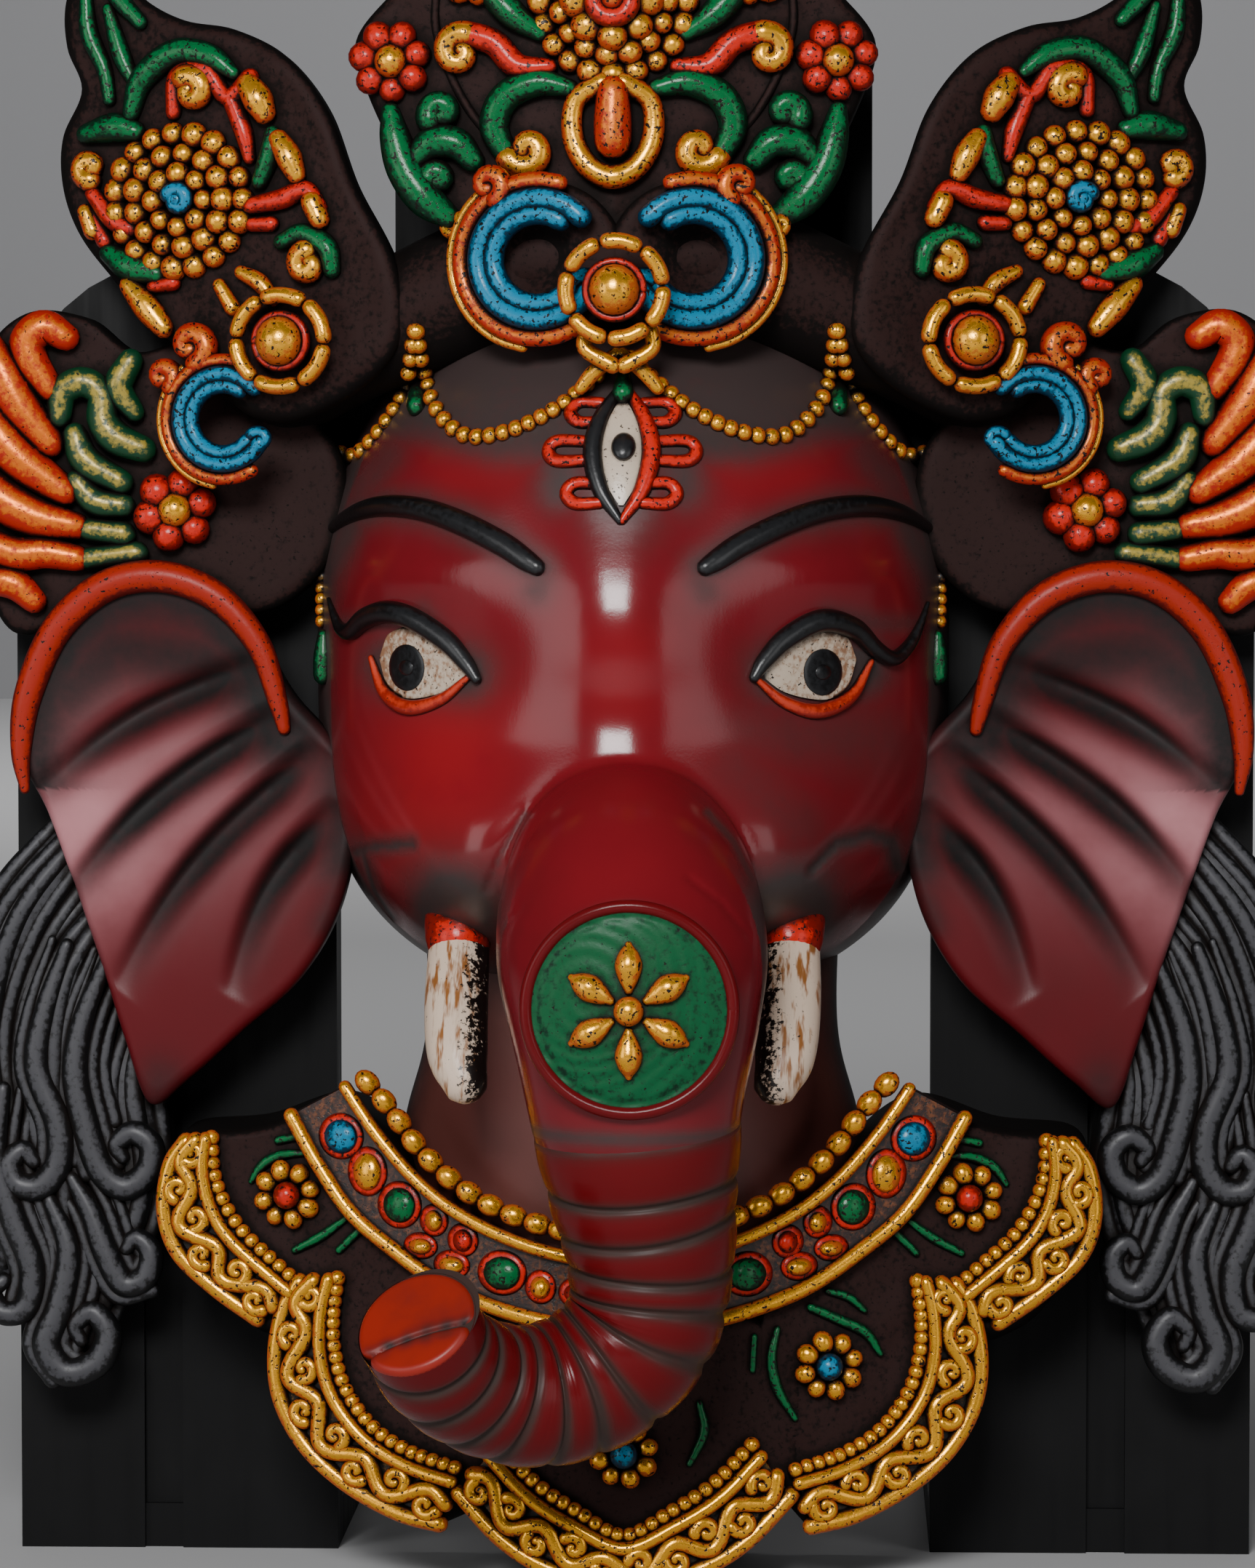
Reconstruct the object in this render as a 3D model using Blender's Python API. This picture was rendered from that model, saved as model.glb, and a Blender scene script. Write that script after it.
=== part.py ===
"""A painted cast-resin mask of an elephant-headed figure, standing against its black display stand.

Metres, +Z up, front towards -Y. The origin is on the table, under the middle of the object.
"""

import math

import bmesh
import bpy
import numpy as np
from mathutils import Vector

# Driving sizes, in metres.
MASK_HEIGHT = 0.312
SHELL_WALL = 0.008
STAND_GAP = 0.0003
BOARD_THICKNESS = 0.010
PANEL_WIDTH = 0.058
PANEL_SPACING = 0.108
PANEL_HEIGHT = 0.235
PANEL_CORNER = 0.030
RIB_WIDTH = 0.007
RIB_DEPTH = 0.002
BRIDGE_HEIGHT = 0.055
BACKREST_WIDTH = 0.086
BACKREST_TOP = 0.288
BACKREST_CORNER = 0.020
FOOT_LENGTH = 0.085
FOOT_THICKNESS = 0.008
PEG_WIDTH = 0.020
PEG_THICKNESS = 0.008
PEG_REACH = 0.020
PEG_CLEARANCE = 0.004

# The carving is laid out on a grid of this many units, so that one unit is about a millimetre.
# Its coordinates are x from the middle, y from the flat back (minus is forwards) and z from the table.
GRID_HEIGHT = 312.0
UNIT = MASK_HEIGHT / GRID_HEIGHT
SIDES = (-1.0, 1.0)
BACK = 2.0
BEAD = 4.0
MASK_FACETS = 9400
CHEST_CENTRE = (0.0, 0.0, 56.0)
CHEST_RADII = (54.0, 32.0, 42.0)

# The head is an ellipsoid above and fuller below, at the jaw. These swellings and hollows are
# modelled on its front: x, z, half-width, half-height and height of each.
HEAD_CENTRE = (0.0, 0.0, 170.0)
HEAD_RADII = (57.0, 60.0, 67.0)
HEAD_DROP = 70.0
JAW_FULLNESS = 3.8
FACE_SWELLINGS = (
    (0.0, 202.0, 34.0, 20.0, 3.0),
    (0.0, 172.0, 11.0, 15.0, 7.0),
    (0.0, 143.0, 17.0, 11.0, 7.0),
    (27.0, 128.0, 17.0, 17.0, 15.0),
    (36.0, 161.0, 12.0, 8.0, -2.5),
    (39.0, 179.0, 15.0, 6.0, 3.0),
)

# The trunk's centre line, with its radius.
TRUNK_LINE = (
    (0.0, -34.0, 141.0, 9.5),
    (0.0, -52.0, 134.5, 16.0),
    (1.5, -68.0, 125.5, 21.5),
    (2.5, -79.0, 115.0, 22.8),
    (3.0, -83.0, 104.0, 21.0),
    (3.3, -84.0, 90.0, 18.0),
    (4.5, -82.0, 76.0, 15.8),
    (5.6, -80.0, 64.0, 14.0),
    (4.0, -79.0, 53.0, 13.0),
    (-3.5, -80.0, 44.8, 12.5),
    (-13.0, -83.0, 41.8, 12.0),
    (-22.0, -89.0, 44.0, 11.2),
    (-28.5, -97.0, 49.5, 10.6),
    (-32.0, -106.0, 56.5, 10.0),
)
TRUNK_PLAIN_STEPS = 9
TRUNK_RINGS = 15
RING_GROOVE = 1.1
MEDALLION_CENTRE = (2.8, -103.5, 108.5)
MEDALLION_RADIUS = 16.8


def head_share(z):
    """The share of its full width and depth that the head has at z."""
    rise = (z - HEAD_CENTRE[2]) / HEAD_RADII[2]
    if rise >= 0.0:
        return math.sqrt(max(1.0 - rise**2, 0.0))
    drop = (HEAD_CENTRE[2] - z) / HEAD_DROP
    return math.sqrt(max(1.0 - drop**JAW_FULLNESS, 0.0))


def head_front(x, z):
    """The y of the face's surface at x, z, without the trunk."""
    cx, cy, _ = HEAD_CENTRE
    rx, ry, _ = HEAD_RADII
    inside = head_share(z) ** 2 - ((x - cx) / rx) ** 2
    y = cy - ry * math.sqrt(max(inside, 0.02))
    return y - face_relief(x, z) * min(1.0, max(inside, 0.0) * 4.0)


def face_relief(x, z):
    """How far the face's swellings stand out at x, z."""
    total = 0.0
    for sx, sz, width, height, rise in FACE_SWELLINGS:
        total += rise * math.exp(-(((abs(x) - sx) / width) ** 2) - ((z - sz) / height) ** 2)
    return total


def chest_front(x, z):
    """The y of the collar's surface at x, z: a chest that is fullest in the middle."""
    return -(26.0 + 20.0 * math.exp(-((x / 50.0) ** 2)) - 3.0 * (z - 40.0) / 50.0)


def smooth_line(points, count):
    """count points, evenly spaced, on a Catmull-Rom curve through points of any dimension."""
    p = np.array(points, float)
    p = np.vstack([2 * p[0] - p[1], p, 2 * p[-1] - p[-2]])
    dense = []
    for i in range(1, len(p) - 2):
        for t in np.linspace(0.0, 1.0, 12, endpoint=False):
            a = 2 * p[i]
            b = (p[i + 1] - p[i - 1]) * t
            c = (2 * p[i - 1] - 5 * p[i] + 4 * p[i + 1] - p[i + 2]) * t**2
            d = (-p[i - 1] + 3 * p[i] - 3 * p[i + 1] + p[i + 2]) * t**3
            dense.append(0.5 * (a + b + c + d))
    dense = np.array(dense + [p[-2]])
    steps = np.linalg.norm(np.diff(dense[:, :3], axis=0), axis=1)
    along = np.concatenate([[0.0], np.cumsum(steps)])
    wanted = np.linspace(0.0, along[-1], count)
    return np.array([np.interp(wanted, along, dense[:, k]) for k in range(p.shape[1])]).T


def solid(points, faces):
    """A closed mesh object from points on the carving grid, with its faces turned outwards."""
    mesh = bpy.data.meshes.new("piece")
    mesh.from_pydata([Vector(p) * UNIT for p in points], [], faces)
    bm = bmesh.new()
    bm.from_mesh(mesh)
    bmesh.ops.recalc_face_normals(bm, faces=bm.faces)
    bmesh.ops.triangulate(bm, faces=bm.faces)
    bm.to_mesh(mesh)
    bm.free()
    obj = bpy.data.objects.new("piece", mesh)
    bpy.context.scene.collection.objects.link(obj)
    return obj


def rings_solid(rings, tip_start=None, tip_end=None):
    """A solid skinned over rings of points, closed by flat ends, or by a point where a tip is given."""
    size = len(rings[0])
    points = [tuple(p) for ring in rings for p in ring]
    faces = []
    for i in range(len(rings) - 1):
        for j in range(size):
            k = (j + 1) % size
            faces.append((i * size + j, i * size + k, (i + 1) * size + k, (i + 1) * size + j))
    for tip, first in ((tip_start, 0), (tip_end, (len(rings) - 1) * size)):
        ring = [first + j for j in range(size)]
        if tip is None:
            faces.append(tuple(ring))
            continue
        points.append(tuple(tip))
        faces.extend((ring[j], ring[(j + 1) % size], len(points) - 1) for j in range(size))
    return solid(points, faces)


def rod(line, count=6, sides=4, depth=1.0, rounded=True, flutes=None):
    """A rod along a line of (x, y, z, radius), with a ridge towards the front. depth squashes it."""
    path = smooth_line(line, count)
    centres, radii = path[:, :3], path[:, 3]
    tangents = np.gradient(centres, axis=0)
    tangents /= np.linalg.norm(tangents, axis=1)[:, None]
    out = np.array([0.0, -1.0, 0.0])
    out = out if abs(tangents[0] @ out) < 0.9 else np.array([0.0, 0.0, 1.0])
    rings = []
    for i, (centre, radius, tangent) in enumerate(zip(centres, radii, tangents)):
        out = out - tangent * (out @ tangent)
        out /= np.linalg.norm(out)
        across = np.cross(tangent, out)
        radius = radius * (flutes(i, count) if flutes else 1.0)
        turns = 2 * math.pi * np.arange(sides) / sides
        rings.append([
            centre + radius * (depth * math.cos(a) * out + math.sin(a) * across) for a in turns
        ])
    if not rounded:
        return rings_solid(rings)
    start = centres[0] - tangents[0] * radii[0] * 0.6
    end = centres[-1] + tangents[-1] * radii[-1] * 0.6
    return rings_solid(rings, start, end)


def on_surface(line, surface, lift=0.0):
    """A line of (x, z, radius) laid on a surface, as (x, y, z, radius)."""
    return [(x, surface(x, z) - lift, z, r) for x, z, r in line]


def ellipsoid(centre, radii, around=6, rings=4):
    """An ellipsoid with its poles up and down."""
    cx, cy, cz = centre
    rx, ry, rz = radii
    turned = []
    for i in range(1, rings):
        a = math.pi * i / rings
        turned.append([
            (
                cx + rx * math.sin(a) * math.cos(b),
                cy + ry * math.sin(a) * math.sin(b),
                cz + rz * math.cos(a),
            )
            for b in (2 * math.pi * (j + 0.5) / around for j in range(around))
        ])
    return rings_solid(turned, (cx, cy, cz + rz), (cx, cy, cz - rz))


def boss(centre, radius, height, surface, lobes=0, around=8):
    """A low round boss facing forwards, scalloped where it has lobes, on a surface."""
    x, z = centre
    count = 2 * lobes if lobes else around
    front = surface(x, z)
    rings = []
    for share, y in ((1.0, front + 4.0), (0.8, front - height)):
        ring = []
        for j in range(count):
            r = radius * share * (0.84 if lobes and j % 2 else 1.0)
            a = 2 * math.pi * j / count
            ring.append((x + r * math.cos(a), y, z + r * math.sin(a)))
        rings.append(ring)
    return rings_solid(rings)


def arc(centre, radius, start, end, thickness, steps=7):
    """A line of (x, z, radius) round an arc, angles in degrees from +x towards +z."""
    x, z = centre
    turns = [math.radians(start + (end - start) * i / (steps - 1)) for i in range(steps)]
    return [(x + radius * math.cos(a), z + radius * math.sin(a), thickness) for a in turns]


def curl(centre, radius, start, turn, thickness, steps=9):
    """A line of (x, z, radius) winding in to a centre, as the end of a scroll does."""
    x, z = centre
    line = []
    for i in range(steps):
        t = i / (steps - 1)
        a = math.radians(start + turn * t)
        r = radius * (1.0 - 0.72 * t)
        line.append((x + r * math.cos(a), z + r * math.sin(a), thickness * (1.0 - 0.35 * t)))
    return line


def mirrored(line, side):
    """A line or outline whose first number is x, on the side asked for."""
    return [(side * p[0], *p[1:]) for p in line]


def plate(outline, centre, surface, levels, thickness=None, draft=0.0):
    """A plate with a shaped front. levels are (share of the way out, rise) from the edge inwards,
    and draft is how far its foot spreads downwards beyond the edge. It reaches back past the flat
    back of the mask, unless it has a thickness of its own."""
    cx, cz = centre

    def ring(share, depth_at, spread=0.0):
        turned = []
        for x, z in outline:
            dx, dz = x - cx, z - cz
            far = math.hypot(dx, dz)
            grow = share + spread * max(0.0, -dz / far) / far
            px, pz = cx + dx * grow, cz + dz * grow
            turned.append((px, depth_at(px, pz), pz))
        return turned

    def behind(x, z):
        return BACK if thickness is None else surface(x, z) + thickness

    rings = [ring(1.0, behind, draft)]
    for share, rise in levels:
        rings.append(ring(share, lambda x, z, rise=rise: surface(x, z) - rise))
    end = (cx, behind(cx, cz), cz)
    middle = (cx, surface(cx, cz) - levels[-1][1], cz)
    return rings_solid(rings, None if thickness is None else end, middle)


# The head and its trunk.
HEAD_LEVELS = (
    229.0, 221.0, 212.0, 204.0, 196.0, 188.0, 181.0, 174.0, 167.0, 160.0, 152.0, 144.0, 136.0, 128.0,
    120.0, 112.0, 105.0,
)
HEAD_FRONT_STEPS = 22
HEAD_BACK_STEPS = 4


def head():
    """The head's ellipsoid with its swellings, cut finer in front than behind."""
    cx, cy, cz = HEAD_CENTRE
    rx, ry, rz = HEAD_RADII
    front = [math.pi * (1.0 + (j + 0.5) / HEAD_FRONT_STEPS) for j in range(HEAD_FRONT_STEPS)]
    behind = [math.pi * (j + 0.5) / HEAD_BACK_STEPS for j in range(HEAD_BACK_STEPS)]
    turned = []
    for z in HEAD_LEVELS:
        wide = head_share(z)
        ring = []
        for turn in front + behind:
            x = cx + rx * wide * math.cos(turn)
            y = cy + ry * wide * math.sin(turn)
            if y < 0.0:
                y -= face_relief(x, z) * min(1.0, 4.0 * (y / ry) ** 2)
            ring.append((x, y, z))
        turned.append(ring)
    return rings_solid(turned, (cx, cy, cz + rz), (cx, cy, cz - HEAD_DROP))


def trunk_groove(i, count):
    """Every other ring of points on the lower trunk is drawn in, which cuts the ring grooves."""
    cut = i % 2 == 0 and TRUNK_PLAIN_STEPS <= i < count - 1
    return 1.0 - RING_GROOVE / 13.0 if cut else 1.0


def trunk():
    """The trunk, with its ring grooves and its cut-off tip."""
    count = TRUNK_PLAIN_STEPS + 2 * TRUNK_RINGS
    return rod(TRUNK_LINE, count, 12, rounded=False, flutes=trunk_groove)


# The blossom on the medallion. A petal is given by distances from the middle, with its radius there.
BLOSSOM_PETALS = 6
BLOSSOM_PETAL = ((3.0, 1.5), (6.5, 2.6), (9.8, 1.6))
BLOSSOM_HEART = 2.8


def medallion():
    """The round plaque on the trunk, with a blossom on it."""
    x, y, z = MEDALLION_CENTRE

    def surface(*_):
        return y + 0.8

    made = [boss((x, z), MEDALLION_RADIUS, 2.2, surface, around=20)]
    made.append(boss((x, z), BLOSSOM_HEART, 4.2, surface, around=6))
    for i in range(BLOSSOM_PETALS):
        a = 2.0 * math.pi * (i + 0.5) / BLOSSOM_PETALS
        petal = [(x + far * math.cos(a), y - 1.4, z + far * math.sin(a), r) for far, r in BLOSSOM_PETAL]
        made.append(rod(petal, 3))
    return made


# The face's features, once for each side.
BROW = (
    (13.5, 178.8, 1.9), (18.8, 182.7, 2.4), (26.0, 186.4, 2.6), (34.3, 189.4, 2.5),
    (42.4, 190.4, 2.3), (49.1, 189.0, 1.9), (54.0, 186.0, 1.2),
)
UPPER_LID = (
    (23.6, 161.5, 1.4), (28.5, 167.0, 1.9), (35.6, 171.0, 2.0),
    (42.5, 168.0, 1.8), (47.5, 167.5, 1.6), (52.2, 174.0, 1.0),
)
LOWER_LID = (
    (43.0, 163.0, 1.0), (39.5, 157.4, 1.4), (34.5, 155.3, 1.5), (28.5, 157.5, 1.4), (24.0, 161.0, 1.0),
)
EYE_CENTRE = (35.8, -39.5, 162.6)
EYE_RADII = (9.5, 8.0, 7.0)
TUSK = (
    (28.5, -34.0, 125.0, 5.4), (28.6, -48.0, 114.0, 5.5),
    (28.4, -57.0, 103.0, 5.3), (28.0, -62.0, 94.0, 4.2),
)
SOCKET = ((28.5, -32.0, 126.0, 7.0), (28.6, -43.0, 118.5, 7.0))
CHEEK_FOLD = ((34.0, 127.0, 1.1), (39.0, 131.5, 1.6), (44.0, 131.0, 1.5), (47.5, 127.0, 1.1))


def face_features(side):
    """Brow, eye, cheek fold, tusk and its socket on one side."""
    x, y, z = EYE_CENTRE
    made = []
    lines = ((BROW, 7, 0.2), (UPPER_LID, 6, 1.0), (LOWER_LID, 5, 0.8), (CHEEK_FOLD, 4, 0.0))
    for line, count, lift in lines:
        made.append(rod(on_surface(mirrored(line, side), head_front, lift), count))
    made.append(ellipsoid((side * x, y, z), EYE_RADII, 8, 5))
    made.append(rod(mirrored(TUSK, side), 5, 6))
    made.append(rod(mirrored(SOCKET, side), 2, 6, rounded=False))
    return made


THIRD_EYE_HEIGHT = 199.8
THIRD_EYE_BARS = ((7.0, 4.0, 9.0), (0.2, 5.5, 12.8), (-7.3, 4.0, 9.6))


def third_eye():
    """The upright eye on the forehead, with three short bars on each side."""
    z = THIRD_EYE_HEIGHT
    made = [ellipsoid((0.0, head_front(0.0, z) + 2.0, z), (5.0, 3.8, 9.5))]
    for s in SIDES:
        lid = [(0.0, z - 11.5, 1.0), (s * 5.6, z, 1.7), (0.0, z + 11.0, 1.0)]
        made.append(rod(on_surface(lid, head_front, 0.6), 5))
        for dz, near, far in THIRD_EYE_BARS:
            line = [(s * near, z + dz, 2.2), (s * far, z + dz, 2.2)]
            made.append(rod(on_surface(line, head_front, 0.0), 2, rounded=False))
    return made


# The ears. Their outline runs round from the rim's outer end, by the tip, to the inner end.
EAR_CENTRE = (79.0, 135.0)
EAR_OUTLINE = (
    (108.5, 145.0), (104.0, 135.0), (99.0, 121.0), (94.5, 108.0), (90.5, 95.0), (86.0, 83.5),
    (79.0, 88.0), (69.0, 97.0), (59.0, 106.0), (52.0, 118.0), (49.0, 132.0), (50.0, 145.0),
    (60.0, 157.0), (66.0, 167.0), (74.0, 174.8), (83.5, 178.0), (94.0, 176.0), (102.5, 168.5),
    (107.5, 157.0),
)
EAR_RIM = (
    (61.8, 152.0, 1.8), (66.0, 166.0, 2.6), (73.5, 174.8, 3.0), (83.5, 178.4, 3.2),
    (93.5, 176.6, 3.3), (102.4, 169.0, 3.3), (107.6, 157.0, 3.0), (108.4, 144.0, 2.0),
)
EAR_FOLD_HUB = (18.0, 190.0)
EAR_FOLDS = (
    (-27.5, 54.0, 92.0, 4.0), (-35.5, 52.0, 104.0, 4.6),
    (-43.5, 52.0, 106.0, 4.6), (-53.0, 56.0, 98.0, 4.6),
)
EAR_THICKNESS = 9.0


def ear_front(x, z):
    """The y of the ear's inner surface, which falls back outwards."""
    return -18.0 + 0.06 * (abs(x) - 56.0)


def ear(side):
    """One ear: a dished plate with a rolled rim and raised folds fanning from the head."""
    outline = mirrored(EAR_OUTLINE, side)
    centre = (side * EAR_CENTRE[0], EAR_CENTRE[1])
    levels = ((1.0, 0.0), (0.80, 1.8))
    made = [plate(outline, centre, ear_front, levels, EAR_THICKNESS)]
    made.append(rod(on_surface(mirrored(EAR_RIM, side), ear_front, 2.6), 10, 5, depth=1.3))
    hub_x, hub_z = EAR_FOLD_HUB
    for angle, near, far, width in EAR_FOLDS:
        a = math.radians(angle)
        fold = []
        for share, part in ((0.0, 0.5), (0.5, 1.0), (1.0, 0.4)):
            r = near + (far - near) * share
            fold.append((side * (hub_x + r * math.cos(a)), hub_z + r * math.sin(a), width * part))
        made.append(rod(on_surface(fold, ear_front, 1.2), 4))
    return made


# The feathered ornament above each ear.
FAN_CENTRE = (95.0, 196.0)
FAN_OUTLINE = (
    (111.0, 168.0), (117.0, 182.0), (118.5, 201.0), (116.0, 217.0), (108.0, 225.0), (97.0, 224.0),
    (88.0, 218.0), (76.0, 221.0), (64.0, 214.0), (52.0, 200.0), (52.0, 184.0), (64.0, 172.0),
    (83.0, 172.0), (98.0, 170.0),
)
FEATHERS = (
    ((97.5, 183.0, 1.9), (105.0, 181.5, 2.3), (114.0, 178.0, 2.6)),
    ((98.5, 189.0, 1.9), (107.0, 188.0, 2.3), (116.0, 188.5, 2.6)),
    ((98.5, 195.5, 1.9), (107.0, 197.0, 2.5), (115.5, 202.0, 2.8)),
    ((98.0, 203.0, 1.9), (105.0, 207.0, 2.6), (112.0, 216.0, 2.8)),
    ((85.0, 183.0, 1.4), (89.5, 181.8, 1.8), (95.0, 181.5, 1.8)),
    ((87.0, 190.5, 1.4), (92.0, 191.5, 1.8), (97.0, 193.0, 1.8)),
    ((86.5, 198.5, 1.6), (91.5, 203.5, 2.2), (93.0, 211.0, 2.1)),
    ((81.0, 204.0, 1.5), (84.0, 210.0, 2.0), (83.5, 217.0, 1.6)),
)
FAN_FLOWER = (80.0, 191.8)
FAN_THICKNESS = 9.0


def fan_front(x, z):
    """The y of the ground behind the feathers."""
    return -14.0 - 0.06 * (118.0 - abs(x))


def feather_fan(side):
    """The ground, feathers, curl and flower above one ear."""
    centre = (side * FAN_CENTRE[0], FAN_CENTRE[1])
    levels = ((1.0, 0.0), (0.7, 1.2))
    made = [plate(mirrored(FAN_OUTLINE, side), centre, fan_front, levels, FAN_THICKNESS)]
    for line in FEATHERS:
        made.append(rod(on_surface(mirrored(line, side), fan_front, 1.4), 3))
    hook = mirrored(curl((99.0, 216.5), 4.6, 200.0, -260.0, 2.2), side)
    made.append(rod(on_surface(hook, fan_front, 1.6), 5))
    flower = (side * FAN_FLOWER[0], FAN_FLOWER[1])
    made.append(boss(flower, 7.2, 3.4, fan_front, 6))
    made.append(boss(flower, 3.0, 5.8, fan_front, around=6))
    return made


# The crown.
SIDE_LEAF_CENTRE = (76.0, 247.0)
SIDE_LEAF_OUTLINE = (
    (40.0, 232.0), (47.5, 247.0), (52.5, 260.0), (60.0, 269.5), (69.5, 274.5), (79.0, 276.5),
    (87.0, 281.0), (95.5, 290.0), (98.5, 281.0), (97.5, 271.5), (95.5, 264.5), (98.5, 256.0),
    (97.5, 247.0), (94.0, 237.0), (88.0, 227.5), (80.0, 217.0), (66.0, 206.0), (52.0, 208.0),
    (40.0, 218.0),
)
SIDE_LEAF_MEDALLION = (77.5, 245.5)
SIDE_LEAF_CURLS = (
    ((71.5, 266.0), 4.2, 250.0, -240.0),
    ((60.0, 253.0), 3.4, 300.0, -240.0),
    ((56.5, 239.5), 3.8, 330.0, -240.0),
    ((91.5, 241.5), 3.0, 160.0, 240.0),
    ((75.5, 221.0), 4.6, 270.0, 250.0),
)
SIDE_LEAF_SPRAYS = (
    ((83.0, 262.0, 2.0), (89.0, 271.0, 2.2), (94.5, 284.0, 1.6)),
    ((93.0, 253.0, 1.6), (95.0, 259.0, 2.0)),
)
SIDE_LEAF_FLOWER = (59.3, 220.5)
SIDE_LEAF_SCROLL = (71.3, 207.0)
CENTRE_LEAF_CENTRE = (0.0, 268.0)
CENTRE_LEAF_HALF = (
    (14.0, 231.0), (29.0, 240.5), (36.5, 249.0), (43.0, 262.0), (45.3, 271.0), (40.0, 278.5),
    (33.0, 284.0), (26.0, 297.0), (17.0, 303.0), (8.0, 307.0),
)
CENTRE_LEAF_SPRAYS = (
    ((4.0, 258.0, 1.9), (12.0, 258.5, 2.3), (16.5, 254.0, 2.3), (13.0, 249.5, 1.8)),
    ((12.0, 263.0, 1.9), (20.0, 265.5, 2.3), (27.0, 270.0, 2.4), (27.5, 264.0, 1.8)),
    ((10.0, 286.0, 2.0), (17.0, 281.5, 2.4), (24.0, 284.5, 2.2)),
    ((24.0, 247.0, 2.1), (31.0, 251.5, 2.6), (37.0, 259.0, 2.0)),
)
CENTRE_LEAF_FLOWER = (41.0, 268.0)
CENTRE_LEAF_MEDALLION = (0.0, 276.0)
CENTRE_LEAF_MEDALLION_RADIUS = 13.0
LEAF_THICKNESS = 12.0
SCROLL_CENTRE = (15.8, 232.0)
SCROLL_TURN = (55.0, 325.0)
SCROLL_RIM_TURN = (85.0, 290.0)
BAND_LINE = (
    (-62.0, -12.0, 211.0, 8.5), (-42.0, -25.0, 222.5, 11.0), (0.0, -33.0, 236.0, 12.0),
    (42.0, -25.0, 222.5, 11.0), (62.0, -12.0, 211.0, 8.5),
)


def crown_front(x, z):
    """The y of the centre leaf's face, which is keeled forwards in the middle."""
    return -44.0 + 0.16 * abs(x)


def side_leaf_front(x, z):
    """The y of a side leaf's face: the crown wraps round, so it falls back outwards."""
    return -37.0 + 0.42 * (abs(x) - 45.0)


def brow_front(x, z):
    """The y of the front of the crown's band."""
    return -50.0 + 0.01 * x * x


def ball_flower(centre, surface, lift, radius=8.8):
    """A round of petals with a ball in it."""
    x, z = centre
    petals = boss((x, z), radius, lift + 1.5, surface, 7)
    ball = ellipsoid((x, surface(x, z) - lift - 1.5, z), (4.4, 4.0, 4.4))
    return [petals, ball]


def scroll_pair(centre, side, surface, lift, size):
    """A round scroll in its outer rim, open towards the crown's middle."""
    facing = 0.0 if side < 0 else 180.0
    start, end = (facing - side * turn for turn in SCROLL_TURN)
    inner = arc(centre, 0.72 * size, start, end, 0.30 * size)
    start, end = (facing - side * turn for turn in SCROLL_RIM_TURN)
    rim = arc(centre, 1.22 * size, start, end, 0.19 * size)
    return [
        rod(on_surface(inner, surface, lift), 9, 5),
        rod(on_surface(rim, surface, lift - 0.5), 8),
    ]


def side_leaf(side):
    """One side leaf with its bead medallion, curls, sprays, flower and scroll."""
    surface = side_leaf_front
    centre = (side * SIDE_LEAF_CENTRE[0], SIDE_LEAF_CENTRE[1])
    medal = (side * SIDE_LEAF_MEDALLION[0], SIDE_LEAF_MEDALLION[1])
    levels = ((1.0, 0.0), (0.90, 1.6), (0.80, 0.2))
    made = [plate(mirrored(SIDE_LEAF_OUTLINE, side), centre, surface, levels, LEAF_THICKNESS)]
    made.append(boss(medal, 12.8, 3.6, surface, 8))
    made.append(boss(medal, 5.0, 6.6, surface, around=6))
    for centre_of, radius, start, turn in SIDE_LEAF_CURLS:
        line = mirrored(curl(centre_of, radius, start, turn, 2.2), side)
        made.append(rod(on_surface(line, surface, 1.8), 5))
    for line in SIDE_LEAF_SPRAYS:
        made.append(rod(on_surface(mirrored(line, side), surface, 1.4), len(line)))
    made += ball_flower((side * SIDE_LEAF_FLOWER[0], SIDE_LEAF_FLOWER[1]), surface, 4.5)
    made += scroll_pair((side * SIDE_LEAF_SCROLL[0], SIDE_LEAF_SCROLL[1]), side, surface, 3.6, 9.6)
    return made


def centre_leaf():
    """The tall middle leaf with its medallion, pendant, sprays and flowers."""
    surface = crown_front
    half = list(CENTRE_LEAF_HALF)
    outline = half + [(0.0, GRID_HEIGHT)] + mirrored(reversed(half), -1.0)
    levels = ((1.0, -2.0), (0.92, 1.2), (0.80, -0.2))
    made = [plate(outline, CENTRE_LEAF_CENTRE, surface, levels, LEAF_THICKNESS)]
    x, z = CENTRE_LEAF_MEDALLION
    made.append(boss((x, z), CENTRE_LEAF_MEDALLION_RADIUS, 4.4, surface, 8))
    made.append(ellipsoid((x, surface(x, z) - 4.0, z), (4.8, 4.0, 4.8)))
    made.append(rod(on_surface([(0.0, 262.0, 3.2), (0.0, 249.0, 4.2)], surface, 1.0), 3))
    for side in SIDES:
        made.append(boss((side * CENTRE_LEAF_FLOWER[0], CENTRE_LEAF_FLOWER[1]), 6.6, 3.6, surface, 6))
        for line in CENTRE_LEAF_SPRAYS:
            made.append(rod(on_surface(mirrored(line, side), surface, 1.5), 4))
    return made


def crown_base():
    """The band that ties the leaves to the head, with the pair of scrolls and the flower in front."""
    made = [rod(BAND_LINE, 9, 6)]
    made.append(rod([(-22.0, -42.0, 230.0, 10.0), (22.0, -42.0, 230.0, 10.0)], 3, 6))
    for side in SIDES:
        made += scroll_pair((side * SCROLL_CENTRE[0], SCROLL_CENTRE[1]), side, brow_front, 2.0, 10.4)
        hook = mirrored(curl((22.0, 245.0), 3.8, 250.0, 250.0, 2.2), side)
        made.append(rod(on_surface(hook, brow_front, -1.0), 5))
    made += ball_flower((0.0, 227.0), brow_front, 7.0)
    return made


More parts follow.
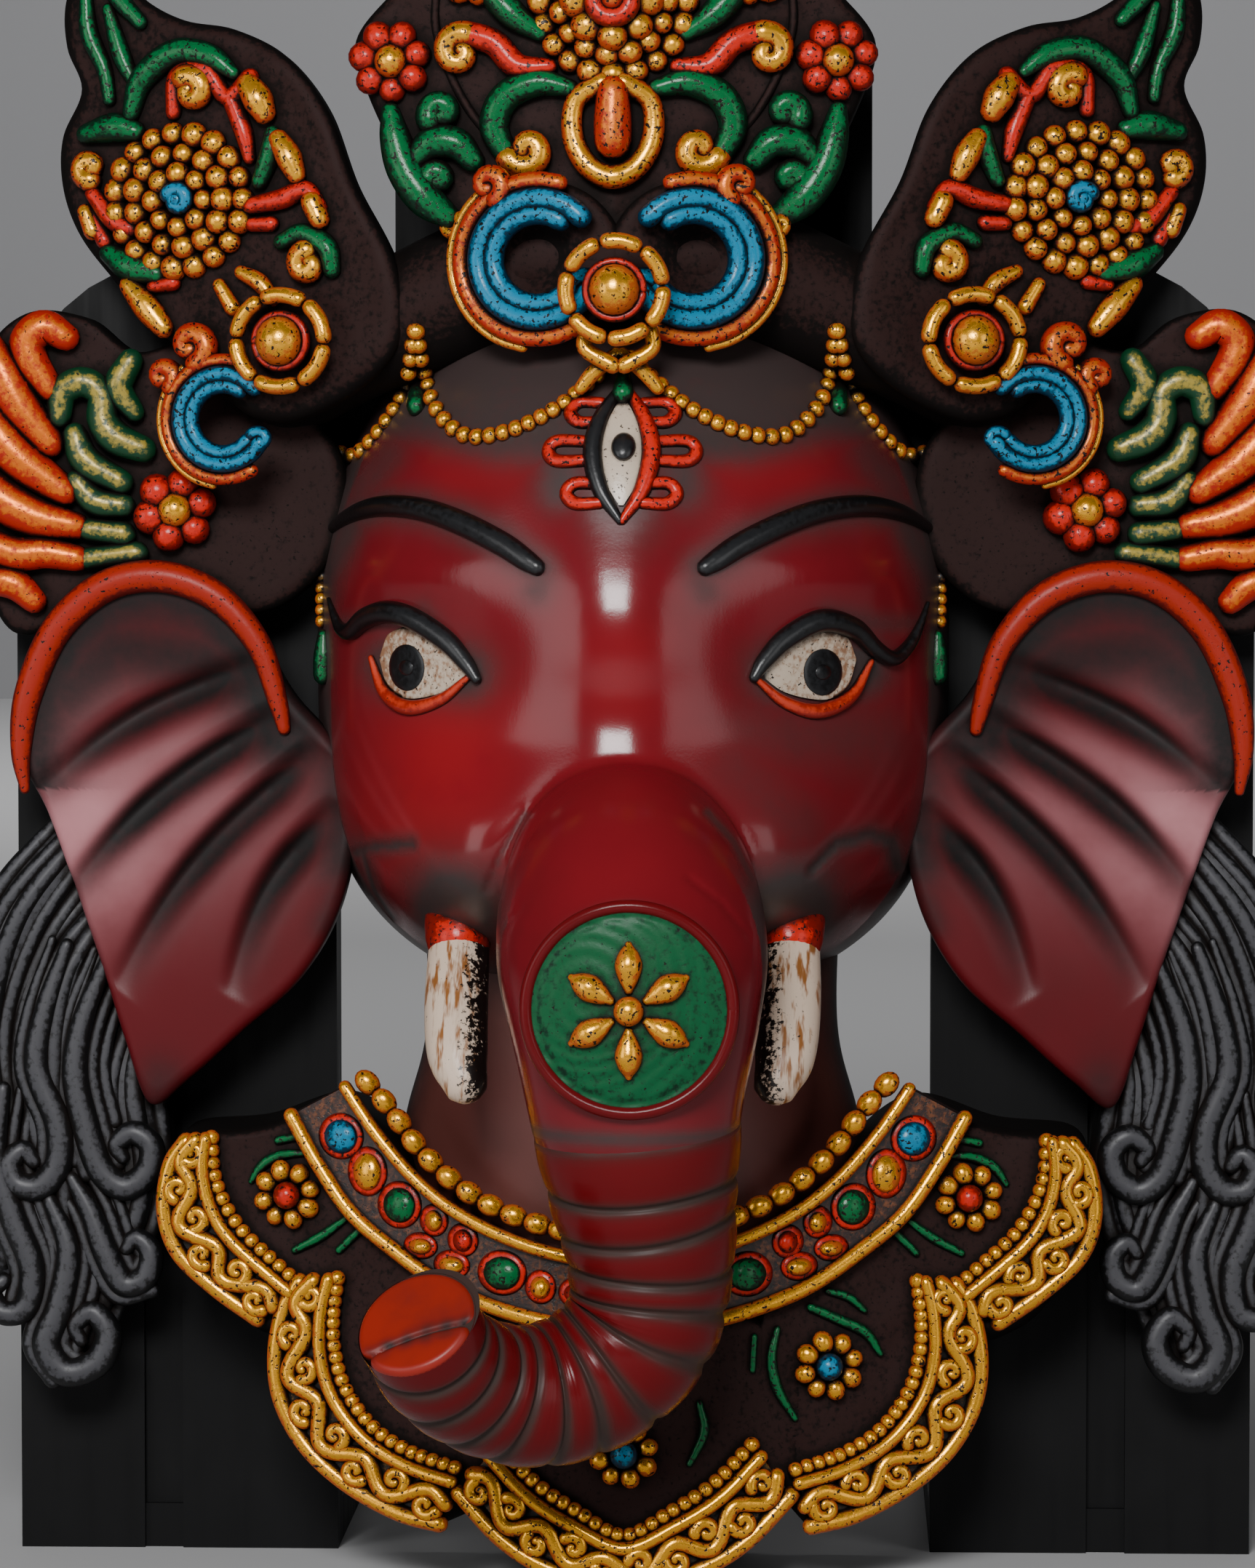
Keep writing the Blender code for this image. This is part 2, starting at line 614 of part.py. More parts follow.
DIADEM_SWAGS = (
    ((0.0, 215.5), (10.0, 207.5), (25.0, 202.0), (34.0, 209.0), (36.4, 221.0)),
    ((36.4, 221.0), (42.0, 207.0), (51.0, 198.0), (56.0, 200.0)),
    ((55.0, 199.0), (55.3, 184.0), (55.0, 168.0)),
)
DIADEM_DROPS = ((36.4, 213.0), (55.0, 165.0))


def diadem(side):
    """The bead strings across one half of the forehead, with their drops."""
    made = []
    for swag in DIADEM_SWAGS:
        line = [(side * x, z, 1.9) for x, z in swag]
        made.append(rod(on_surface(line, head_front, 0.6), len(swag)))
    for x, z in DIADEM_DROPS:
        line = [(side * x, z + 2.5, 2.0), (side * x, z - 3.5, 2.6)]
        made.append(rod(on_surface(line, head_front, 1.0), 2))
    return made


# The neck and the five-lobed collar.
NECK_LINE = (
    (0.0, -4.0, 128.0, 38.0), (0.0, -6.0, 98.0, 37.0), (0.0, -7.0, 80.0, 43.0), (0.0, -5.0, 58.0, 52.0),
)
LOBE_EDGE_DRAFT = 6.0
CENTRE_LOBE = (
    (0.0, 1.0), (13.0, 2.5), (23.0, 9.5), (29.0, 18.5), (31.0, 27.0), (28.0, 45.0), (0.0, 56.0),
)
SIDE_LOBE = (
    (31.5, 15.5), (40.0, 13.5), (50.0, 16.5), (58.5, 23.5), (63.5, 33.0), (62.5, 44.0),
    (55.0, 53.0), (44.0, 62.0), (26.0, 56.0), (23.0, 38.0), (27.5, 23.5),
)
SHOULDER = (
    (57.0, 44.5), (65.0, 43.0), (73.0, 52.0), (81.0, 62.0), (84.0, 71.0), (80.0, 77.5),
    (66.0, 80.0), (50.0, 84.0), (38.0, 72.0), (45.0, 56.0),
)
BORDER_LEVELS = ((1.0, 0.0), (0.92, 2.0), (0.82, 1.6), (0.76, -0.6))
NECKLACE_INNER = ((49.0, 87.6), (34.5, 70.5), (17.0, 62.0), (0.0, 59.5))
NECKLACE_OUTER = ((59.0, 82.5), (44.5, 63.0), (24.0, 51.3), (0.0, 47.5))
COLLAR_FLOWERS = ((0.0, 26.0), (-35.6, 40.2), (35.6, 40.2), (-60.2, 68.8), (60.2, 68.8))
COLLAR_STONES = ((50.4, 79.7), (39.7, 68.2), (20.5, 57.0))


def across(half):
    """A line over both sides from its right half, which ends in the middle."""
    return list(half) + mirrored(reversed(half[:-1]), -1.0)


def collar():
    """Neck, lobes with raised borders, flowers, and the necklace band with its stones."""
    made = [rod(NECK_LINE, 5, 14, depth=0.86, rounded=False)]
    lobes = [(list(CENTRE_LOBE) + mirrored(reversed(CENTRE_LOBE[1:-1]), -1.0), (0.0, 30.0))]
    for side in SIDES:
        lobes.append((mirrored(SIDE_LOBE, side), (side * 42.0, 37.0)))
        lobes.append((mirrored(SHOULDER, side), (side * 61.0, 64.0)))
    for outline, centre in lobes:
        made.append(plate(outline, centre, chest_front, BORDER_LEVELS, draft=LOBE_EDGE_DRAFT))
    for centre in COLLAR_FLOWERS:
        made.append(boss(centre, 5.4, 2.8, chest_front, 6))
    for half, lift in ((NECKLACE_INNER, 3.0), (NECKLACE_OUTER, 2.4)):
        line = [(x, z, 2.4) for x, z in across(half)]
        made.append(rod(on_surface(line, chest_front, lift), 11))
    pairs = zip(NECKLACE_INNER, NECKLACE_OUTER)
    middle = [((xi + xo) / 2, (zi + zo) / 2, 6.4) for (xi, zi), (xo, zo) in pairs]
    made.append(rod(on_surface(across(middle), chest_front, 0.0), 9, 6, depth=0.5))
    for x, z in COLLAR_STONES:
        for side in SIDES:
            made.append(boss((side * x, z), 3.4, 5.0, chest_front, around=6))
    return made


# The hair behind each ear: long locks that end in curls.
HAIR_LOCKS = (
    ((98.0, 132.0, 7.0), (110.0, 116.0, 9.0), (116.0, 96.0, 9.5), (113.0, 74.0, 8.5), (113.0, 56.0, 6.0)),
    ((90.0, 122.0, 6.0), (101.0, 106.0, 9.0), (104.0, 86.0, 9.5), (102.0, 64.0, 8.5), (104.0, 50.0, 6.0)),
    ((86.0, 104.0, 6.0), (91.0, 88.0, 8.5), (90.0, 68.0, 9.0), (96.0, 50.0, 8.0), (99.0, 40.0, 5.0)),
)
HAIR_CURLS = (
    ((102.5, 78.5), 5.6, 20.0, -330.0, 2.8),
    ((89.8, 77.0), 5.8, 160.0, 330.0, 2.8),
    ((87.0, 61.0), 4.8, 160.0, 300.0, 2.6),
    ((98.5, 43.0), 5.0, 170.0, 300.0, 2.6),
)
HAIR_STRANDS = (
    ((102.0, 128.0, 2.0), (113.0, 112.0, 2.6), (118.0, 92.0, 2.6), (115.5, 70.0, 2.2), (115.0, 58.0, 1.8)),
    ((96.0, 116.0, 2.0), (107.0, 100.0, 2.6), (109.5, 82.0, 2.6), (107.5, 64.0, 2.2), (108.5, 50.0, 1.8)),
    ((95.0, 70.0, 2.0), (94.5, 60.0, 2.6), (97.5, 50.0, 2.0)),
)


def hair_front(x, z):
    """The y of the middle of the hair's locks."""
    return -8.0


def hair(side):
    """One side's locks, strands and curls."""
    made = []
    for line in HAIR_LOCKS:
        made.append(rod(on_surface(mirrored(line, side), hair_front), 6, 6))
    for line in HAIR_STRANDS:
        made.append(rod(on_surface(mirrored(line, side), hair_front, 7.6), 5))
    for centre, radius, start, turn, thickness in HAIR_CURLS:
        line = mirrored(curl(centre, radius, start, turn, thickness), side)
        made.append(rod(on_surface(line, hair_front, 6.4), 7))
    return made


def box(low, high):
    """A plain block between two corners, in metres."""
    mesh = bpy.data.meshes.new("block")
    bm = bmesh.new()
    bmesh.ops.create_cube(bm, size=1.0)
    low, high = Vector(low), Vector(high)
    for v in bm.verts:
        v.co = Vector((low[i] + (v.co[i] + 0.5) * (high[i] - low[i]) for i in range(3)))
    bm.to_mesh(mesh)
    bm.free()
    obj = bpy.data.objects.new("block", mesh)
    bpy.context.scene.collection.objects.link(obj)
    return obj


def boolean(base, tools, operation):
    """Joins tools to base, or cuts them from it, and leaves one plain mesh."""
    group = bpy.data.collections.new("tools")
    bpy.context.scene.collection.children.link(group)
    for tool in tools:
        bpy.context.scene.collection.objects.unlink(tool)
        group.objects.link(tool)
    modifier = base.modifiers.new("carve", "BOOLEAN")
    modifier.operation = operation
    modifier.solver = "MANIFOLD"
    modifier.operand_type = "COLLECTION"
    modifier.collection = group
    graph = bpy.context.evaluated_depsgraph_get()
    mesh = bpy.data.meshes.new_from_object(base.evaluated_get(graph))
    base.modifiers.clear()
    base.data = mesh
    for tool in tools:
        bpy.data.objects.remove(tool)
    bpy.data.collections.remove(group)
    return base


def shells(bm):
    """The separate shells of a mesh, each as its faces."""
    left = set(bm.faces)
    found = []
    while left:
        stack = [left.pop()]
        shell = []
        while stack:
            face = stack.pop()
            shell.append(face)
            near = {other for edge in face.edges for other in edge.link_faces} & left
            left -= near
            stack.extend(near)
        found.append(shell)
    return found


def drop_crumbs(obj):
    """Deletes the shells smaller than a bead, which are slivers between the joined pieces."""
    bm = bmesh.new()
    bm.from_mesh(obj.data)
    small = [shell for shell in shells(bm) if extent(shell) < BEAD * UNIT]
    bmesh.ops.delete(bm, geom=[face for shell in small for face in shell], context="FACES")
    bmesh.ops.triangulate(bm, faces=bm.faces)
    bm.to_mesh(obj.data)
    bm.free()


def extent(faces):
    """The longest side of the box round some faces."""
    points = np.array([tuple(vert.co) for face in faces for vert in face.verts])
    return float(np.ptp(points, axis=0).max())


def thin_out(obj, wanted):
    """Collapses the flattest facets until about the wanted number is left."""
    drop_crumbs(obj)
    modifier = obj.modifiers.new("thin_out", "DECIMATE")
    facets = sum(len(face.vertices) - 2 for face in obj.data.polygons)
    modifier.ratio = min(1.0, wanted / facets)
    graph = bpy.context.evaluated_depsgraph_get()
    mesh = bpy.data.meshes.new_from_object(obj.evaluated_get(graph))
    obj.modifiers.clear()
    obj.data = mesh


def hollow_roof(x, y):
    """The height of the head's hollow, in metres, at a place given in metres."""
    rx, ry, rz = (r * UNIT - SHELL_WALL for r in HEAD_RADII)
    return HEAD_CENTRE[2] * UNIT + rz * math.sqrt(1.0 - (x / rx) ** 2 - (y / ry) ** 2)


def hollows():
    """The cutters that open the back of the head and of the chest, a wall's thickness inside."""
    wall = SHELL_WALL / UNIT
    rx, ry, rz = HEAD_RADII
    head_room = ellipsoid(HEAD_CENTRE, (rx - wall, ry - wall, rz - wall), 16, 10)
    cx, cy, cz = CHEST_RADII
    chest_room = ellipsoid(CHEST_CENTRE, (cx - wall, cy - wall, cz - wall), 14, 8)
    return [head_room, chest_room]


def mask():
    """Everything that was cast as one: head, ears, crown, hair and collar."""
    pieces = [trunk(), *medallion(), *third_eye(), *centre_leaf(), *crown_base(), *collar()]
    for side in SIDES:
        pieces += face_features(side)
        pieces += ear(side)
        pieces += feather_fan(side)
        pieces += side_leaf(side)
        pieces += diadem(side)
        pieces += hair(side)
    cast = boolean(head(), pieces, "UNION")
    reach = MASK_HEIGHT
    behind = box((-reach, 0.0, -reach), (reach, reach, 2 * reach))
    below = box((-reach, -reach, -reach), (reach, reach, 0.0))
    cast = boolean(cast, [behind, below, *hollows()], "DIFFERENCE")
    thin_out(cast, MASK_FACETS)
    cast.name = "ganesha_mask"
    return cast


def rounded_board(low_x, high_x, low_z, high_z, corner, front, thickness, corners=("left", "right")):
    """An upright board with its upper corners rounded."""
    outline = [(low_x, low_z), (high_x, low_z)]
    steps = 8
    for name, x, start in (("right", high_x - corner, 0.0), ("left", low_x + corner, 90.0)):
        if name not in corners:
            outline.append((high_x, high_z) if name == "right" else (low_x, high_z))
            continue
        for i in range(steps + 1):
            a = math.radians(start + 90.0 * i / steps)
            outline.append((x + corner * math.cos(a), high_z - corner + corner * math.sin(a)))
    bm = bmesh.new()
    ring = [bm.verts.new((x, front, z)) for x, z in outline]
    face = bm.faces.new(ring)
    made = bmesh.ops.extrude_face_region(bm, geom=[face])
    moved = [g for g in made["geom"] if isinstance(g, bmesh.types.BMVert)]
    bmesh.ops.translate(bm, verts=moved, vec=(0.0, thickness, 0.0))
    bmesh.ops.recalc_face_normals(bm, faces=bm.faces)
    mesh = bpy.data.meshes.new("board")
    bm.to_mesh(mesh)
    bm.free()
    obj = bpy.data.objects.new("board", mesh)
    bpy.context.scene.collection.objects.link(obj)
    return obj


def display_stand():
    """Two upright panels on rearward feet, a bridge, a backrest and the peg inside the head."""
    front = STAND_GAP
    back = front + BOARD_THICKNESS
    inner = PANEL_SPACING / 2
    outer = inner + PANEL_WIDTH
    peg_top = hollow_roof(PEG_WIDTH / 2, PEG_REACH) - PEG_CLEARANCE
    parts = []
    for side in SIDES:
        low_x, high_x = sorted((side * inner, side * outer))
        rounded = "right" if side > 0 else "left"
        panel = rounded_board(low_x, high_x, 0.0, PANEL_HEIGHT, PANEL_CORNER, front,
                              BOARD_THICKNESS, (rounded,))
        foot = box((low_x, front + 0.001, 0.0), (high_x, front + FOOT_LENGTH, FOOT_THICKNESS))
        rib_x = side * (inner + PANEL_WIDTH * 0.55)
        groove = box((rib_x - RIB_WIDTH / 2, front - RIB_DEPTH, -0.01),
                     (rib_x + RIB_WIDTH / 2, front + RIB_DEPTH, PANEL_HEIGHT - PANEL_CORNER))
        panel = boolean(panel, [groove], "DIFFERENCE")
        parts += [panel, foot]
    bridge = box((-inner - 0.005, front, PANEL_HEIGHT - BRIDGE_HEIGHT),
                 (inner + 0.005, back, PANEL_HEIGHT - 0.002))
    backrest = rounded_board(-BACKREST_WIDTH / 2, BACKREST_WIDTH / 2, PANEL_HEIGHT - BRIDGE_HEIGHT / 2,
                             BACKREST_TOP, BACKREST_CORNER, front, BOARD_THICKNESS)
    peg = box((-PEG_WIDTH / 2, -PEG_REACH, peg_top - PEG_THICKNESS),
              (PEG_WIDTH / 2, front + BOARD_THICKNESS / 2, peg_top))
    stand = boolean(bridge, [*parts, backrest, peg], "UNION")
    stand.name = "display_stand"
    return stand


def paint(obj, name, colour, roughness, metallic=0.0):
    """Gives an object its own material."""
    material = bpy.data.materials.new(name)
    material.use_nodes = True
    shader = material.node_tree.nodes["Principled BSDF"]
    shader.inputs["Base Color"].default_value = (*colour, 1.0)
    shader.inputs["Roughness"].default_value = roughness
    shader.inputs["Metallic"].default_value = metallic
    obj.data.materials.clear()
    obj.data.materials.append(material)


def centre_depth(objects):
    """Hangs the objects on an empty that puts the middle of their depth over the origin."""
    depths = [v.co.y for obj in objects for v in obj.data.vertices]
    frame = bpy.data.objects.new("mask_frame", None)
    frame.location.y = -(min(depths) + max(depths)) / 2
    bpy.context.scene.collection.objects.link(frame)
    for obj in objects:
        obj.parent = frame


for old in list(bpy.data.objects):
    bpy.data.objects.remove(old)

cast_mask = mask()
stand_made = display_stand()
paint(cast_mask, "painted_resin", (0.23, 0.03, 0.03), 0.35)
paint(stand_made, "black_satin", (0.012, 0.012, 0.013), 0.45)
centre_depth([cast_mask, stand_made])
for made in (cast_mask, stand_made):
    made.data.shade_smooth()
    made.data.set_sharp_from_angle(angle=math.radians(35.0))
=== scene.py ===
# %% [markdown]
# # A painted elephant-headed mask
# The real object is one resin casting, about 31 cm tall, that leans on a black board stand. It was
# painted by hand in red, gold, green and blue, and a dark wash was rubbed over everything, so that
# every hollow is black and every high spot is bright. This lesson rebuilds the looks of the mask
# around its packed construction model, which gives the size and the place of everything.

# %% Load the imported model
import math

import bpy
import numpy as np
from mathutils import Matrix, Vector


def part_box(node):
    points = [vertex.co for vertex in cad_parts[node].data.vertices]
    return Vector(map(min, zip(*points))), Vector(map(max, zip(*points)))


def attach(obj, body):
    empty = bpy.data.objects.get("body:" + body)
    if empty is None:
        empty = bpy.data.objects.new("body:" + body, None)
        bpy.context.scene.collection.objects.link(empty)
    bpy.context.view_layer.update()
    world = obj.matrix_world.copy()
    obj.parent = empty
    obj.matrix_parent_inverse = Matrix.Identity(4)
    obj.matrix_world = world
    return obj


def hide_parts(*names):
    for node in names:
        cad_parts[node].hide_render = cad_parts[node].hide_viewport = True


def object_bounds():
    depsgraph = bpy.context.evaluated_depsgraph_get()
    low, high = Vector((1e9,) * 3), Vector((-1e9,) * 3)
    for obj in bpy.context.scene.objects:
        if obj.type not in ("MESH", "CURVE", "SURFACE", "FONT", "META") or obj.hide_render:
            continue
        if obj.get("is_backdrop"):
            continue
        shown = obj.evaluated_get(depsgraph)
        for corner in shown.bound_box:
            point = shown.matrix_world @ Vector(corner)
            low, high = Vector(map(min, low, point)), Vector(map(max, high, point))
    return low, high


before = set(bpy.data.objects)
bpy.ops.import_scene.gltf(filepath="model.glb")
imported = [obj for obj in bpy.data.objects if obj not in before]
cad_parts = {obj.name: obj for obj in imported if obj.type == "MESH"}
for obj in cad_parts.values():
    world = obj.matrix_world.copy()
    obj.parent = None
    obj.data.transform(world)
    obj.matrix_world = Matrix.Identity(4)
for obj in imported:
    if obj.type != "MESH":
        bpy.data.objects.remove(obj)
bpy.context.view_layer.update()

# %% [markdown]
# The carving is modelled in millimetres, with x from the middle, y from the mask's flat back
# (minus is towards the viewer) and z from the table. A finished piece is brought into the frame by
# changing its mesh, so that its object stays at the origin. The flat back lies a foot's length and a
# small gap in front of the stand's rear end.

# %% Bring finished pieces into the frame
MM = 0.001
STAND_DEPTH = 0.0853
BACK_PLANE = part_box("display_stand")[1].y - STAND_DEPTH
TO_FRAME = Matrix.Translation((0.0, BACK_PLANE, 0.0)) @ Matrix.Scale(MM, 4)
MASK = "ganesha_mask"
SIDES = ((-1, "left"), (1, "right"))
cast_pieces = []


def only(obj):
    """Selects one object and nothing else, because an operator acts on all that is selected."""
    bpy.ops.object.select_all(action="DESELECT")
    obj.select_set(True)
    bpy.context.view_layer.objects.active = obj
    return obj


def cast(obj, name, paint, sharp=50.0):
    """Finishes a piece of the casting: normals, place, shading, paint, and the body it rides on."""
    only(obj)
    bpy.ops.object.mode_set(mode="EDIT")
    bpy.ops.mesh.select_all(action="SELECT")
    bpy.ops.mesh.normals_make_consistent(inside=False)
    bpy.ops.object.mode_set(mode="OBJECT")
    obj.data.transform(TO_FRAME)
    bpy.ops.object.shade_smooth_by_angle(angle=math.radians(sharp))
    obj.name = obj.data.name = name
    obj.data.materials.clear()
    obj.data.materials.append(paint)
    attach(obj, "root")
    cast_pieces.append(obj)
    return obj


print("flat back at y =", round(BACK_PLANE, 5))

# %% [markdown]
# A rubbed paint has three layers: the black wash in the pits, the colour on the flanks, and a
# brighter coat that a flat brush leaves on what faces the viewer. The first node group finds those
# three places from the direction that the surface faces, from how closed in it is, and from noise.

# %% Node helpers
def colour(red, green, blue):
    """A colour from its 0 to 255 screen values, as the light values that Blender computes with."""
    parts = [v / 255.0 for v in (red, green, blue)]
    return tuple(v / 12.92 if v <= 0.04045 else ((v + 0.055) / 1.055) ** 2.4 for v in parts) + (1.0,)


def add(tree, kind, inputs=None, **settings):
    """Adds a node. Each input takes a value, or an output of another node."""
    made = tree.nodes.new("ShaderNode" + kind)
    for key, value in settings.items():
        setattr(made, key, value)
    for key, value in (inputs or {}).items():
        if isinstance(value, bpy.types.NodeSocket):
            tree.links.new(value, made.inputs[key])
        else:
            made.inputs[key].default_value = value
    return made


def maths(tree, operation, a, b=0.0, clamp=False):
    """The result of one sum on two numbers."""
    return add(tree, "Math", {0: a, 1: b}, operation=operation, use_clamp=clamp).outputs[0]


def ramp(tree, value, low, high, to_low=0.0, to_high=1.0):
    """A smooth rise from one number to another while the value goes from low to high."""
    limits = {0: value, 1: low, 2: high, 3: to_low, 4: to_high}
    return add(tree, "MapRange", limits, interpolation_type="SMOOTHSTEP").outputs[0]


def noise(tree, place, size, detail=3.0, rough=0.6):
    """Cloudy noise, from 0 to 1, whose clouds are about size metres wide."""
    made = add(tree, "TexNoise", {"Vector": place, "Scale": 1.0 / size, "Detail": detail, "Roughness": rough})
    return made.outputs["Fac"]


def mix(tree, share, a, b):
    """The mix of two colours."""
    return add(tree, "Mix", {0: share, 6: a, 7: b}, data_type="RGBA").outputs[2]


def group(name, inputs, outputs):
    """An empty node group with named inputs and outputs, with the nodes at its two ends."""
    tree = bpy.data.node_groups.new(name, "ShaderNodeTree")
    kinds = {"C": "NodeSocketColor", "F": "NodeSocketFloat"}
    for label, kind in inputs:
        tree.interface.new_socket(label, in_out="INPUT", socket_type=kinds[kind])
    for label, kind in outputs:
        tree.interface.new_socket(label, in_out="OUTPUT", socket_type=kinds[kind])
    return tree, tree.nodes.new("NodeGroupInput"), tree.nodes.new("NodeGroupOutput")


def new_material(name):
    """A new material, with its node tree and its shader."""
    material = bpy.data.materials.new(name)
    material.use_nodes = True
    return material, material.node_tree, material.node_tree.nodes["Principled BSDF"]


def roughen(tree, shader, height, strength, distance):
    """Gives a shader slight relief from a height."""
    lifted = add(tree, "Bump", {"Height": height, "Strength": strength, "Distance": distance})
    tree.links.new(lifted.outputs["Normal"], shader.inputs["Normal"])


print("node helpers ready")

# %% [markdown]
# The group reads the surface's own direction, not the camera's, so the paint stays where it is in
# every view. Its grain is about a millimetre, the width of the bristles and of the casting's pores.

# %% The rubbed paint group
BRUSH_GRAIN = 0.0011
PORE_SIZE = 0.0007
BRUSHED_SIDE = (0.0, -1.0, 0.15)
HOLLOW_REACH = 0.0028
HOLLOW_SAMPLES = 5
PAINT_RELIEF = 0.0004


def rubbed_paint():
    """Wash in the hollows, a colour on the flanks and a bright coat on what faces forwards."""
    tree, start, end = group(
        "rubbed_paint",
        [("Wash", "C"), ("Flank", "C"), ("Top", "C"), ("Cover", "F"), ("Pores", "F")],
        [("Color", "C"), ("Coat", "F"), ("Height", "F")],
    )
    place = add(tree, "TexCoord").outputs["Object"]
    normal = add(tree, "NewGeometry").outputs["Normal"]
    facing = add(tree, "VectorMath", {0: normal, 1: BRUSHED_SIDE}, operation="DOT_PRODUCT").outputs["Value"]
    hollow = add(tree, "AmbientOcclusion", {"Distance": HOLLOW_REACH}, samples=HOLLOW_SAMPLES).outputs["AO"]
    grain = noise(tree, place, BRUSH_GRAIN)
    pores = noise(tree, place, PORE_SIZE, 2.0, 0.5)
    open_share = ramp(tree, hollow, 0.40, 0.95)
    ragged = maths(tree, "MULTIPLY", maths(tree, "SUBTRACT", grain, 0.5), 1.6)
    flank = ramp(tree, maths(tree, "ADD", open_share, ragged), 0.36, 0.66)
    pitted = ramp(tree, maths(tree, "SUBTRACT", pores, start.outputs["Pores"]), 0.0, 0.05, 1.0, 0.0)
    flank = maths(tree, "MULTIPLY", flank, pitted)
    raised = maths(tree, "ADD", facing, maths(tree, "MULTIPLY", ragged, 0.55))
    raised = maths(tree, "ADD", raised, maths(tree, "MULTIPLY", open_share, 0.25))
    top = ramp(tree, maths(tree, "SUBTRACT", raised, start.outputs["Cover"]), -0.04, 0.22)
    top = maths(tree, "MULTIPLY", top, flank)
    painted = mix(tree, flank, start.outputs["Wash"], start.outputs["Flank"])
    painted = mix(tree, top, painted, start.outputs["Top"])
    height = maths(tree, "ADD", maths(tree, "MULTIPLY", grain, 0.5), maths(tree, "MULTIPLY", flank, 0.5))
    for socket, value in (("Color", painted), ("Coat", top), ("Height", height)):
        tree.links.new(value, end.inputs[socket])
    return tree


RUBBED = rubbed_paint()
WASH = colour(20, 14, 12)


def rubbed(name, flank, top, cover, pores=0.72, rough=0.42, shine=0.32, metal=0.0, bump=0.25, gleam=0.5):
    """A material of rubbed paint. The bright coat may be glossier and more metallic than the rest."""
    material, tree, shader = new_material(name)
    layers = add(tree, "Group", node_tree=RUBBED)
    values = {"Wash": WASH, "Flank": colour(*flank), "Top": colour(*top), "Cover": cover, "Pores": pores}
    for label, value in values.items():
        layers.inputs[label].default_value = value
    shader.inputs["Specular IOR Level"].default_value = gleam
    coat = layers.outputs["Coat"]
    roughen(tree, shader, layers.outputs["Height"], bump, PAINT_RELIEF)
    tree.links.new(layers.outputs["Color"], shader.inputs["Base Color"])
    tree.links.new(ramp(tree, coat, 0.0, 1.0, rough, shine), shader.inputs["Roughness"])
    if metal:
        tree.links.new(maths(tree, "MULTIPLY", coat, metal), shader.inputs["Metallic"])
    return material


GOLD_TOP = (248, 178, 46)
GILT = rubbed("gilt_over_red", (170, 62, 18), GOLD_TOP, 0.93, 0.58, metal=0.8, shine=0.28, gleam=0.3)
GILT_SMOOTH = rubbed("smooth_gilt", (178, 84, 22), GOLD_TOP, 0.91, 0.60, metal=0.8, shine=0.26, gleam=0.3)
GILT_ORANGE = rubbed("orange_gilt", (168, 38, 16), (216, 112, 30), 1.04, 0.58, metal=0.45, gleam=0.3)
RED_ENAMEL = rubbed("red_enamel", (124, 20, 13), (208, 38, 22), 0.95, 0.60, shine=0.24, gleam=0.25)
GREEN_ENAMEL = rubbed("green_enamel", (5, 40, 24), (7, 102, 54), 0.95, 0.58, shine=0.24, gleam=0.25)
BLUE_ENAMEL = rubbed("blue_enamel", (6, 48, 70), (10, 128, 166), 0.95, 0.59, shine=0.26, gleam=0.25)
DARK_GROUND = rubbed("dark_ground", (15, 11, 10), (42, 25, 23), 1.00, 0.66, rough=0.75, shine=0.65,
                     bump=0.15, gleam=0.12)
HAIR_BLACK = rubbed("dry_brushed_black", (10, 10, 11), (66, 66, 70), 1.00, 0.74, rough=0.5, shine=0.42,
                    bump=0.12, gleam=0.4)
SATIN_BLACK = rubbed("brow_black", (12, 12, 13), (30, 31, 33), 0.9, 0.72, rough=0.34)
print(len(bpy.data.materials), "rubbed paints")

# %% [markdown]
# The face, the ears and the trunk are not dry-brushed. They are red lacquer, airbrushed with soft
# black and, on the ears, with a dusty pink. The same darkening and paling also carry painted shade,
# on the right cheek and the neck, and painted light, on the left cheek. How much of each lies where
# is worked out for every point of the mesh and kept there as an attribute, which the lacquer then reads.

# %% The airbrushed lacquer
LACQUER_CLOUDS = 0.018
LACQUER_GRAIN = 0.0016
SCUFF_SIZE = 0.0005


